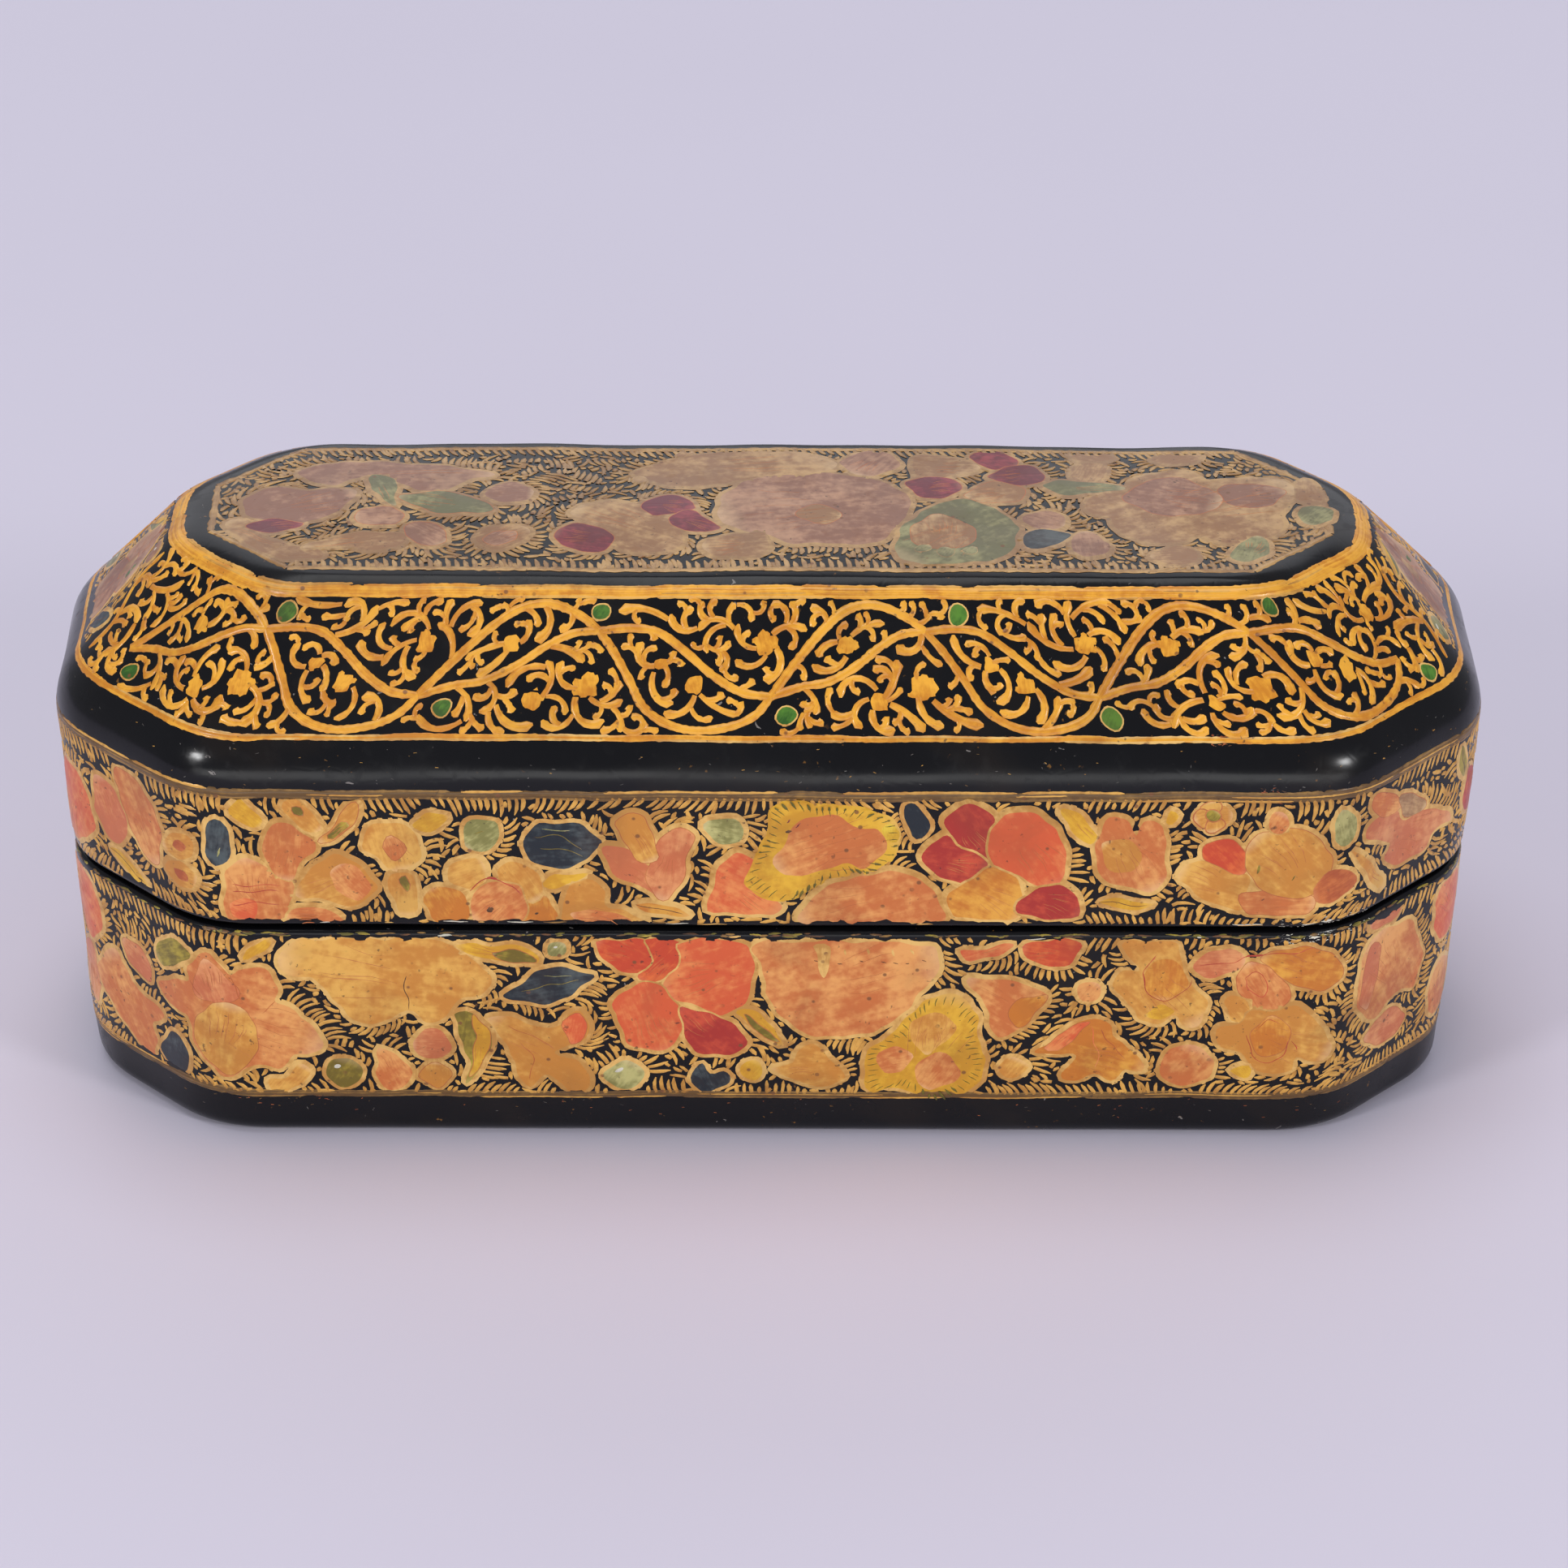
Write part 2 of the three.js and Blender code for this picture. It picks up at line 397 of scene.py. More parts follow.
def node(tree, kind, inputs=(), **settings):
    made = tree.nodes.new("ShaderNode" + kind)
    for key, value in settings.items():
        setattr(made, key, value)
    for key, value in dict(inputs).items():
        if isinstance(value, bpy.types.NodeSocket):
            tree.links.new(value, made.inputs[key])
        else:
            made.inputs[key].default_value = value
    return made


def noise(tree, where, scale, detail, distortion=0.0):
    inputs = {"Vector": where, "Scale": scale, "Detail": detail, "Distortion": distortion}
    return node(tree, "TexNoise", inputs).outputs["Fac"]


def between(tree, value, low, high, to_low=0.0, to_high=1.0):
    """Maps low..high to to_low..to_high, held at both ends."""
    inputs = {"Value": value, "From Min": low, "From Max": high, "To Min": to_low, "To Max": to_high}
    return node(tree, "MapRange", inputs, interpolation_type="SMOOTHSTEP").outputs["Result"]


def sums(tree, operation, a, b, c=0.0):
    return node(tree, "Math", {0: a, 1: b, 2: c}, operation=operation).outputs[0]


def blend_colours(tree, amount, a, b):
    return node(tree, "Mix", {0: amount, 6: a, 7: b}, data_type="RGBA").outputs[2]


def effect(name, inputs, outputs):
    """An empty node group with named inputs and outputs."""
    tree = bpy.data.node_groups.new(name, "ShaderNodeTree")
    for label, kind, value in inputs:
        socket = tree.interface.new_socket(label, in_out="INPUT", socket_type="NodeSocket" + kind)
        socket.default_value = value
    for label, kind in outputs:
        tree.interface.new_socket(label, in_out="OUTPUT", socket_type="NodeSocket" + kind)
    return tree, tree.nodes.new("NodeGroupInput").outputs, tree.nodes.new("NodeGroupOutput").inputs


def object_place(tree):
    return node(tree, "TexCoord").outputs["Object"]


def make_varnish():
    """Old varnish: patches of duller gloss, fine crackle and brush drag."""
    tree, given, out = effect(
        "Aged varnish",
        [("Gloss", "Float", 0.25), ("Unevenness", "Float", 0.12)],
        [("Roughness", "Float"), ("Height", "Float")],
    )
    where = object_place(tree)
    patches = between(tree, noise(tree, where, 70.0, 3.0), 0.38, 0.68)
    dust = between(tree, noise(tree, where, 900.0, 2.0), 0.55, 0.75)
    amount = sums(tree, "MULTIPLY_ADD", patches, given["Unevenness"], given["Gloss"])
    rough = sums(tree, "MULTIPLY_ADD", dust, 0.1, amount)
    tree.links.new(rough, out["Roughness"])
    cracks = node(
        tree,
        "TexVoronoi",
        {"Vector": where, "Scale": 420.0, "Randomness": 1.0},
        feature="DISTANCE_TO_EDGE",
    ).outputs["Distance"]
    crackle = between(tree, cracks, 0.0, 0.07)
    ripple = noise(tree, where, 260.0, 3.0)
    height = sums(tree, "MULTIPLY_ADD", crackle, 0.25, ripple)
    tree.links.new(height, out["Height"])
    return tree


def make_grime():
    """Brown handling dirt in soft patches and dark specks. It darkens a colour."""
    tree, given, out = effect(
        "Handling grime",
        [
            ("Colour", "Color", (1, 1, 1, 1)),
            ("Dirt", "Color", srgb(92, 62, 36)),
            ("Patches", "Float", 0.3),
            ("Specks", "Float", 0.6),
        ],
        [("Colour", "Color")],
    )
    where = object_place(tree)
    patches = between(tree, noise(tree, where, 160.0, 5.0, 0.6), 0.45, 0.75)
    dirty = sums(tree, "MULTIPLY", patches, given["Patches"])
    soft = blend_colours(tree, dirty, given["Colour"], given["Dirt"])
    specks = between(tree, noise(tree, where, 2600.0, 2.0), 0.66, 0.74)
    zones = between(tree, noise(tree, where, 300.0, 2.0), 0.42, 0.6)
    amount = sums(tree, "MULTIPLY", sums(tree, "MULTIPLY", specks, zones), given["Specks"])
    tree.links.new(blend_colours(tree, amount, soft, srgb(58, 40, 30)), out["Colour"])
    return tree


VARNISH = make_varnish()
GRIME = make_grime()


def lacquered(name, gloss, uneven, bump, coat):
    """A material with its varnish wired up. The colour is still to be linked."""
    material = bpy.data.materials.new(name)
    material.use_nodes = True
    tree = material.node_tree
    shader = tree.nodes["Principled BSDF"]
    shader.inputs["Coat Weight"].default_value = coat
    shader.inputs["Specular IOR Level"].default_value = 0.4
    shader.inputs["Coat Roughness"].default_value = 0.12
    varnish = node(tree, "Group", {"Gloss": gloss, "Unevenness": uneven}, node_tree=VARNISH).outputs
    tree.links.new(varnish["Roughness"], shader.inputs["Roughness"])
    ripples = {"Height": varnish["Height"], "Strength": bump, "Distance": 0.00006}
    tree.links.new(node(tree, "Bump", ripples).outputs["Normal"], shader.inputs["Normal"])
    return material, tree, shader


def grimy(tree, colour, patches, specks):
    inputs = {"Colour": colour, "Patches": patches, "Specks": specks}
    return node(tree, "Group", inputs, node_tree=GRIME).outputs["Colour"]


def black_lacquer(name):
    """Black lacquer with brown thin places, gold dust and grey scuffs."""
    material, tree, shader = lacquered(name, gloss=0.16, uneven=0.14, bump=0.12, coat=0.06)
    shader.inputs["Specular IOR Level"].default_value = 0.26
    where = object_place(tree)
    thin = between(tree, noise(tree, where, 140.0, 4.0, 0.5), 0.5, 0.72, 0.0, 0.55)
    body = blend_colours(tree, thin, srgb(11, 11, 14), srgb(28, 22, 18))
    dust = between(tree, noise(tree, where, 1900.0, 2.0), 0.69, 0.75, 0.0, 0.5)
    here = between(tree, noise(tree, where, 210.0, 2.0), 0.5, 0.62)
    body = blend_colours(tree, sums(tree, "MULTIPLY", dust, here), body, srgb(150, 104, 46))
    chips = between(tree, noise(tree, where, 1100.0, 3.0, 1.2), 0.735, 0.755, 0.0, 0.85)
    body = blend_colours(tree, chips, body, srgb(128, 122, 118))
    tree.links.new(body, shader.inputs["Base Color"])
    return material


def inside_lacquer(name):
    """The plainer black inside, worn brown where fingers and snuff rub it."""
    material, tree, shader = lacquered(name, gloss=0.34, uneven=0.2, bump=0.25, coat=0.3)
    where = object_place(tree)
    rubbed = between(tree, noise(tree, where, 90.0, 5.0, 0.8), 0.46, 0.7, 0.0, 0.8)
    body = blend_colours(tree, rubbed, srgb(25, 23, 24), srgb(58, 41, 30))
    tree.links.new(grimy(tree, body, 0.4, 0.8), shader.inputs["Base Color"])
    return material


def make_wash():
    """A brushed colour: pale and deep pools, streaks along the brush and a creamy tip."""
    tree, given, out = effect(
        "Brushed wash",
        [
            ("Pale", "Color", (1, 1, 1, 1)),
            ("Deep", "Color", (0.5, 0.5, 0.5, 1)),
            ("Tip", "Color", (1, 1, 1, 1)),
            ("Depth", "Float", 0.5),
            ("Creaminess", "Float", 0.3),
        ],
        [("Colour", "Color")],
    )
    where = object_place(tree)
    brush = node(tree, "SeparateXYZ", {0: node(tree, "UVMap", uv_map="brush").outputs["UV"]}).outputs
    batch = node(tree, "Attribute", attribute_name="batch").outputs["Fac"]
    shifted = sums(tree, "MULTIPLY", batch, 37.0)
    along = sums(tree, "MULTIPLY", brush["X"], 1.6)
    over = sums(tree, "MULTIPLY", brush["Y"], 9.0)
    run = node(tree, "CombineXYZ", {"X": along, "Y": over, "Z": shifted}).outputs["Vector"]
    streaks = noise(tree, run, 1.0, 3.0, 0.4)
    pools = noise(tree, where, 380.0, 4.0, 0.5)
    grain = noise(tree, where, 1700.0, 3.0)
    amount = sums(tree, "MULTIPLY_ADD", streaks, 0.55, sums(tree, "MULTIPLY", pools, 0.95))
    amount = sums(tree, "MULTIPLY_ADD", grain, 0.7, amount)
    amount = sums(tree, "MULTIPLY_ADD", batch, 0.24, amount)
    # Darker toward the brush's root and cream at its tip (below). On the round shapes, which are brushed from
    # lower left to upper right, this is painted shading.
    toward_root = between(tree, brush["X"], 0.0, 0.6, 0.16, 0.0)
    amount = sums(tree, "ADD", amount, toward_root)
    amount = sums(tree, "MULTIPLY_ADD", given["Depth"], 0.5, amount)
    deep = between(tree, amount, 1.2, 1.72)
    body = blend_colours(tree, deep, given["Pale"], given["Deep"])
    dots = node(tree, "TexVoronoi", {"Vector": where, "Scale": 620.0, "Randomness": 1.0}).outputs["Distance"]
    inside_dot = between(tree, dots, 0.07, 0.13, 0.85, 0.0)
    dotted = sums(tree, "MULTIPLY", inside_dot, between(tree, pools, 0.42, 0.54))
    body = blend_colours(tree, dotted, body, srgb(120, 74, 40))
    tip = between(tree, sums(tree, "MULTIPLY_ADD", pools, 0.25, brush["X"]), 0.85, 1.15)
    creamy = sums(tree, "MULTIPLY", tip, given["Creaminess"])
    tree.links.new(blend_colours(tree, creamy, body, given["Tip"]), out["Colour"])
    return tree


WASH = make_wash()

# Each paint: pale, deep, how deep on the whole, and how creamy at the tip
COLOURS = {
    "salmon": ((240, 172, 102), (208, 118, 62), 0.45, 0.3),
    "rose": ((236, 162, 108), (208, 116, 74), 0.45, 0.3),
    "ochre": ((238, 184, 92), (208, 140, 58), 0.45, 0.35),
    "amber": ((236, 172, 70), (206, 124, 42), 0.5, 0.2),
    "coral": ((240, 150, 88), (222, 98, 56), 0.45, 0.1),
    "vermilion": ((234, 118, 60), (206, 74, 42), 0.5, 0.1),
    "crimson": ((214, 86, 58), (174, 50, 42), 0.5, 0.05),
    "indigo": ((80, 92, 98), (24, 34, 44), 0.55, 0.0),
    "olive": ((186, 166, 58), (118, 102, 30), 0.5, 0.2),
    "straw": ((238, 188, 56), (212, 154, 38), 0.4, 0.2),
    "yellow": ((238, 206, 70), (214, 166, 44), 0.4, 0.1),
    "pearl": ((200, 196, 132), (136, 134, 76), 0.45, 0.3),
    "emerald": ((88, 140, 48), (44, 90, 28), 0.5, 0.0),
    "moss": ((132, 120, 34), (92, 86, 26), 0.5, 0.0),
    "russet": ((214, 124, 66), (180, 88, 46), 0.5, 0.1),
    "umber": ((126, 82, 44), (74, 48, 26), 0.5, 0.0),
    "white": ((232, 230, 220), (200, 200, 190), 0.3, 0.0),
    "crease": ((216, 138, 78), (186, 104, 58), 0.5, 0.0),
    "outline": ((240, 196, 118), (200, 146, 74), 0.35, 0.0),
    "scroll": ((246, 180, 60), (208, 134, 36), 0.35, 0.0),
    "ground": ((234, 180, 88), (186, 132, 58), 0.35, 0.0),
    "border": ((160, 122, 62), (104, 76, 38), 0.5, 0.0),
    "chip": ((120, 118, 118), (66, 64, 66), 0.5, 0.0),
    "dusk": ((196, 150, 122), (146, 100, 80), 0.5, 0.3),
    "fawn": ((206, 166, 118), (156, 112, 74), 0.5, 0.3),
    "sage": ((164, 160, 114), (110, 108, 72), 0.5, 0.3),
    "wine": ((164, 62, 74), (112, 30, 48), 0.5, 0.1),
    "tan": ((206, 166, 112), (158, 118, 76), 0.4, 0.0),
}
CREAM = srgb(246, 214, 164)
GOLDS = ("outline", "scroll", "ground", "border", "tan")
VARNISH_TINT = (0.92, 0.89, 0.8, 1)


def aged(colour):
    """A paint as the old yellowed varnish lets it through."""
    return tuple(c * kept for c, kept in zip(srgb(*colour), VARNISH_TINT))


def paint(name):
    """A dry-bound colour under the varnish."""
    pale, deep, depth, creaminess = COLOURS[name]
    gloss, dirt = (0.3, 0.25) if name in GOLDS else (0.34, 0.26)
    material, tree, shader = lacquered(name + " paint", gloss, uneven=0.14, bump=0.3, coat=0.15)
    brushed = {
        "Pale": aged(pale),
        "Deep": aged(deep),
        "Tip": CREAM,
        "Depth": depth,
        "Creaminess": creaminess,
    }
    wash = node(tree, "Group", brushed, node_tree=WASH)
    colour = grimy(tree, wash.outputs["Colour"], dirt, 0.7)
    tree.links.new(colour, shader.inputs["Base Color"])
    return material


PAINTS = {name: paint(name) for name in COLOURS}
PAINT_ORDER = {name: i for i, name in enumerate(PAINTS)}


# Brushwork
EDGE = 0.42  # width of the cream-gold outline round a motif
COAT = 0.035  # how far a motif stands off the lacquer
OVERLAP = 0.016  # how much higher a motif stands on the one under it
SUNK = 0.012  # how far the edge of the paint reaches into the lacquer


def smooth(points, closed=False, step=0.3):
    """A smooth line through the points, with a point about every step mm."""
    points = np.asarray(points, float)
    if closed:
        run = np.concatenate([points[-1:], points, points[:2]])
    else:
        run = np.concatenate([2 * points[:1] - points[1:2], points, 2 * points[-1:] - points[-2:-1]])
    line = []
    for a, b, c, d in zip(run, run[1:], run[2:], run[3:]):
        count = max(2, round(float(np.hypot(*(c - b))) / step))
        u = np.linspace(0, 1, count, endpoint=False)[:, None]
        curve = 2 * b + (c - a) * u + (2 * a - 5 * b + 4 * c - d) * u**2 + (3 * b - a - 3 * c + d) * u**3
        line.append(curve / 2)
    if not closed:
        line.append(points[-1:])
    return np.concatenate(line)


def directions(line, closed=False):
    """Unit vectors along a line of points."""
    if closed:
        along = np.roll(line, -1, 0) - np.roll(line, 1, 0)
    else:
        along = np.gradient(line, axis=0)
    return along / np.maximum(np.linalg.norm(along, axis=1), 1e-9)[:, None]


def turned(vectors, angle):
    c, s = math.cos(angle), math.sin(angle)
    return vectors @ np.array([[c, s], [-s, c]])


def grown(outline, by):
    """An anticlockwise outline moved outwards."""
    return outline - turned(directions(outline, True), math.pi / 2) * by


def anticlockwise(outline):
    x, y = outline.T
    area = (x * np.roll(y, -1) - y * np.roll(x, -1)).sum()
    return outline if area > 0 else outline[::-1]


def unsteady(points):
    """The wander of a hand that draws, the same for all that lies close together."""
    x, y = points[:, 0], points[:, 1]
    across = 0.1 * np.sin(1.1 * x + 1.7 * y) + 0.07 * np.sin(2.9 * y - 1.9 * x + 1)
    up = 0.1 * np.sin(1.3 * y - 1.5 * x + 2) + 0.07 * np.sin(2.7 * x + 2.1 * y)
    return points + np.column_stack([across, up])


class Part:
    """A closed painted shape. The brush ran from its root to its tip."""

    def __init__(self, paint, outline, root, tip, edge):
        self.paint, self.outline, self.root, self.tip, self.edge = paint, outline, root, tip, edge


def petal(paint, root, tip, width, full=0.62, blunt=0.62, edge=EDGE):
    """Narrow at the root, widest at the share full of its length, and round at the tip."""
    root, tip = np.array(root, float), np.array(tip, float)
    along = tip - root
    across = np.array([-along[1], along[0]])
    long = float(np.hypot(*along))
    s = (1 - np.cos(np.linspace(0, math.pi, max(9, round(long / 0.3)) + 1))) / 2
    half = width / 2 / long * np.sin(math.pi * s ** (math.log(0.5) / math.log(full))) ** blunt
    right = root + np.outer(s, along) - np.outer(half, across)
    left = root + np.outer(s, along) + np.outer(half, across)
    return Part(paint, np.concatenate([right, left[-2:0:-1]]), root, tip, edge)


def lobed(paint, centre, radius, edge, lobes=0, depth=0.0, turn=0.0, squash=1.0):
    """A round shape, plain or lobed. Turn and squash make an ellipse of it."""
    centre = np.array(centre, float)
    angle = np.linspace(0, 2 * math.pi, max(12, round(radius * 22)), endpoint=False)
    reach = radius * (1 + depth * np.cos(lobes * (angle - turn)))
    outline = np.column_stack([reach * np.cos(angle), squash * reach * np.sin(angle)])
    # Painted shading: the brush runs from the lower left to the upper right, so the wash paints each round
    # shape darker at its lower left and cream at its upper right.
    lit = turned(np.array([[-0.5, -0.85]]) * radius, turn)[0]
    return Part(paint, centre + turned(outline, turn), centre + lit, centre - lit, edge)


def shape(paint, points, edge):
    """A free outline through a few points, brushed from its middle to its farthest point."""
    outline = smooth(points, True, 0.35)
    root = outline.mean(0)
    tip = outline[np.argmax(np.linalg.norm(outline - root, axis=1))]
    return Part(paint, outline, root, tip, edge)


class Layer:
    """One mesh of paint: points in flat mm with a lift and a lean, and triangles in paints."""

    ROW_GAP, SIDE, OVERHANG = 0.5, 4, 5  # mm kept free in the bake map, and past the first column

    def __init__(self, surface):
        self.surface, self.count = surface, 0
        self.points, self.lifts, self.leans = [], [], []
        self.triangles, self.paints, self.brushed, self.batches = [], [], [], []

    def add(self, points, lifts, leans, triangles, paints, brushed, batches):
        self.points.append(points)
        self.lifts.append(lifts)
        self.leans.append(leans)
        self.triangles.append(triangles + self.count)
        self.paints.append(paints)
        self.brushed.append(brushed)
        self.batches.append(batches)
        self.count += len(points)

    def finish(self, name, body, slot, rows, left, wide):
        """Builds the piece. Its bake map unrolls the surface into rows."""
        flat, lift = np.concatenate(self.points), np.concatenate(self.lifts)
        bottom = flat[:, 1].min() - self.ROW_GAP
        high = flat[:, 1].max() - bottom + 2 * self.ROW_GAP
        lean, triangles = np.concatenate(self.leans), np.concatenate(self.triangles)
        paints, batches = np.concatenate(self.paints), np.concatenate(self.batches)
        points, normals = self.surface.place(flat, lift)
        amount = np.linalg.norm(lean, axis=1)[:, None]
        side = self.surface.place(flat + lean / np.maximum(amount, 1e-6) * 0.04, lift)[0] - points
        normals = normals + side / np.maximum(np.linalg.norm(side, axis=1), 1e-9)[:, None] * amount
        normals /= np.linalg.norm(normals, axis=1)[:, None]
        used = sorted(set(paints.tolist()))
        materials = [PAINTS[list(PAINTS)[i]] for i in used]
        slots = np.searchsorted(used, paints)
        piece = add_piece(name, points, triangles.tolist(), materials, body, slots, normals)
        mesh = piece.data
        uv = np.concatenate(self.brushed).reshape(-1)
        mesh.uv_layers.new(name="brush").data.foreach_set("uv", uv.astype(np.float32))
        middle = np.mod(flat[triangles].mean(1)[:, 0] - left, wide)
        row = np.floor(middle / (wide / rows))
        corner = np.repeat(row, 3)
        x = np.mod(flat[triangles.reshape(-1), 0] - left + self.OVERHANG, wide) - self.OVERHANG
        x = np.where(x - corner * wide / rows > wide / 2, x - wide, x)
        y = flat[triangles.reshape(-1), 1] - bottom
        size = max(wide / rows + 2 * self.SIDE, rows * high)
        bake = np.column_stack([x - corner * wide / rows + self.SIDE, y + corner * high]) / size
        mesh.uv_layers.new(name="OFBake").data.foreach_set("uv", bake.reshape(-1).astype(np.float32))
        mesh.attributes.new("batch", "FLOAT", "FACE").data.foreach_set("value", batches.astype(np.float32))


class Room:
    """The cells of a band that are still free for strokes."""

    CELLS = 8

    def __init__(self, left, wide, low, high, endless, clearance=0.27):
        self.corner, self.endless = np.array([left, low]), endless
        self.taken = np.zeros((int((high - low) * self.CELLS), int(wide * self.CELLS)), bool)
        reach = np.arange(-5, 6) / self.CELLS
        self.stamp = np.array([(x, y) for x in reach for y in reach if math.hypot(x, y) < clearance])

    def cells(self, points):
        column, row = np.floor((points - self.corner) * self.CELLS).astype(int).T
        inside = (row >= 0) & (row < self.taken.shape[0])
        if self.endless:
            column = column % self.taken.shape[1]
        else:
            inside &= (column >= 0) & (column < self.taken.shape[1])
        return row, column, inside

    def free(self, points):
        row, column, inside = self.cells(points)
        return bool(inside.all()) and not self.taken[row, column].any()

    def take(self, points):
        row, column, inside = self.cells((points[:, None] + self.stamp).reshape(-1, 2))
        self.taken[row[inside], column[inside]] = True

    def inside(self, outline):
        """Rows and columns of the cells inside an outline."""
        low, high = outline.min(0), outline.max(0)
        x, y = np.meshgrid(np.arange(low[0], high[0], 0.12), np.arange(low[1], high[1], 0.12))
        crossed = np.zeros(x.shape, bool)
        for a, b in zip(outline, np.roll(outline, -1, 0)):
            if a[1] != b[1]:
                reach = a[0] + (y - a[1]) / (b[1] - a[1]) * (b[0] - a[0])
                crossed ^= ((a[1] > y) != (b[1] > y)) & (x < reach)
        row, column, inside = self.cells(np.column_stack([x[crossed], y[crossed]]))
        return row[inside], column[inside]

    def fill(self, outline):
        self.taken[self.inside(outline)] = True


class Painting:
    """The painting on one band of the box: flowers, fine lines and the gold ground."""

    def __init__(self, name, surface, body, low, high, seed, around=True):
        self.name, self.body = name, body
        self.low, self.high = low, high
        self.left, self.wide = (-ROUND / 4, ROUND) if around else (-50, 100)
        self.around = around
        self.flowers, self.lines, self.gold = Layer(surface), Layer(surface), Layer(surface)
        self.random = random.Random(seed)
        self.claims = []
        self.stack = Room(self.left, self.wide, low - 1, high + 1, around)
        self.heights = np.full(self.stack.taken.shape, -1)
        self.shift, self.swap = 0.0, {}

    def copy_at(self, shift, **swap):
        """What is painted from now on lands shifted round the box, in swapped paints."""
        self.shift, self.swap = shift, swap

    def flat(self, points):
        return unsteady(np.asarray(points, float).reshape(-1, 2)) + (self.shift, 0)

    def bounds(self, left, right):
        """The band between its uneven edges."""
        x = np.arange(left - 1, right + 1.4, 0.4)
        waver = 0.09 * np.sin(1.7 * x + 0.4) + 0.07 * np.sin(4.1 * x) + 0.05 * np.sin(9.3 * x + 1)
        if self.around:
            beside_corner = np.abs(np.mod(x + ROUND / 4, ROUND / 2) - ROUND / 4)
            waver += 0.3 * np.clip((beside_corner - 38) / 3, 0, 1)
        low = np.column_stack([x, self.low + waver])
        high = np.column_stack([x, self.high - waver])
        return np.concatenate([low, high[::-1]])

    def motif(self, parts, lines=(), crease=0.1, between="crease"):
        """Overlapping parts, each painted over the last, as one map without overlaps."""
        outlines = [anticlockwise(self.flat(part.outline)) for part in parts]
        brushes = [self.flat([part.root, part.tip]) for part in parts]
        batches = [self.random.random() for part in parts]
        rim = self.swap.get("outline", "outline")
        shapes = [
            (grown(outline, part.edge), rim, brush, batch)
            for part, outline, brush, batch in zip(parts, outlines, brushes, batches)
            if part.edge
        ]
        rims = len(shapes)
        for i, part in enumerate(parts):
            if i and part.edge and crease:
                shapes.append((grown(outlines[i], crease), between, brushes[i], batches[i]))
            shapes.append((outlines[i], self.swap.get(part.paint, part.paint), brushes[i], batches[i]))
        corners = np.concatenate([shape[0] for shape in shapes])
        low, high = corners.min(0), corners.max(0)
        covered = np.concatenate([np.array(self.stack.inside(shape[0])) for shape in shapes], axis=1)
        row, column = covered.astype(int)
        level_here = 1 + self.heights[row, column].max(initial=-1)
        self.heights[row, column] = level_here
        lift = COAT + OVERLAP * level_here
        rings = [self.bounds(low[0], high[0])] + [shape[0] for shape in shapes]
        x, y = np.meshgrid(np.arange(low[0], high[0], 0.6), np.arange(low[1], high[1], 0.6))
        vertices = np.concatenate(rings + [np.column_stack([x.ravel() + 0.013, y.ravel() + 0.017])])
        faces, start = [], 0
        for ring_points in rings:
            faces.append(list(range(start, start + len(ring_points))))
            start += len(ring_points)
        made = delaunay_2d_cdt([Vector(v) for v in vertices], [], faces, 1, 1e-5)
        spots = np.array([tuple(v) for v in made[0]])
        triangles, tops = [], []
        for corner_ids, origin in zip(made[2], made[5]):
            if 0 in origin and len(origin) > 1:
                triangles.append(corner_ids)
                tops.append(max(origin) - 1)
        if not triangles:
            return
        triangles, tops = np.array(triangles), np.array(tops)
        edges = np.sort(triangles[:, [0, 1, 1, 2, 2, 0]].reshape(-1, 2), axis=1)
        edges, uses = np.unique(edges, axis=0, return_counts=True)
        lifts = np.full(len(spots), lift)
        lifts[edges[uses == 1].reshape(-1)] = -SUNK
        brushed = np.empty((len(triangles), 3, 2))
        for i, (_, _, (root, tip), _) in enumerate(shapes):
            here = tops == i
            reach = spots[triangles[here]] - root
            along = tip - root
            size = along @ along
            brushed[here, :, 0] = reach @ along / size
            brushed[here, :, 1] = reach @ np.array([-along[1], along[0]]) / size
        paints = np.array([PAINT_ORDER[shape[1]] for shape in shapes])[tops]
        batches = np.array([shape[3] for shape in shapes])[tops]
        self.flowers.add(spots, lifts, np.zeros((len(spots), 2)), triangles, paints, brushed, batches)
        for line, width, paint in lines:
            self.stroke(self.lines, self.flat(line), width, paint, 0.01, lift - 0.002)
        self.claims.extend(shape[0] for shape in shapes[:rims])

    def flower(self, *pieces, lines=(), crease=0.06, between="crease", rim=True):
        """Free outlines over each other. Without a rim, all but the first lie inside it."""
        parts = [
            shape(paint, points, EDGE if rim or not i else 0)
            for i, (paint, *points) in enumerate(pieces)
        ]
        drawn = [(smooth(points), width, paint) for width, paint, *points in lines]
        for part in parts:
            drawn += self.fine_veins(part)
        self.motif(parts, drawn, crease, between)

    def plain(self, *pieces):
        """Flowers and leaves of one outline each."""
        for piece in pieces:
            self.flower(piece)

    def hatch(self, outline, centre):
        """Short strokes that stand on an outline and point to its centre."""
        lines = []
        for foot in smooth(outline, True, 0.62):
            inward = np.array(centre) - foot
            inward /= np.linalg.norm(inward)
            start = foot + inward * self.random.uniform(0.15, 0.3)
            end = start + inward * self.random.uniform(0.55, 0.85)
            lines.append((0.2, "moss", tuple(start), tuple(end)))
        return lines

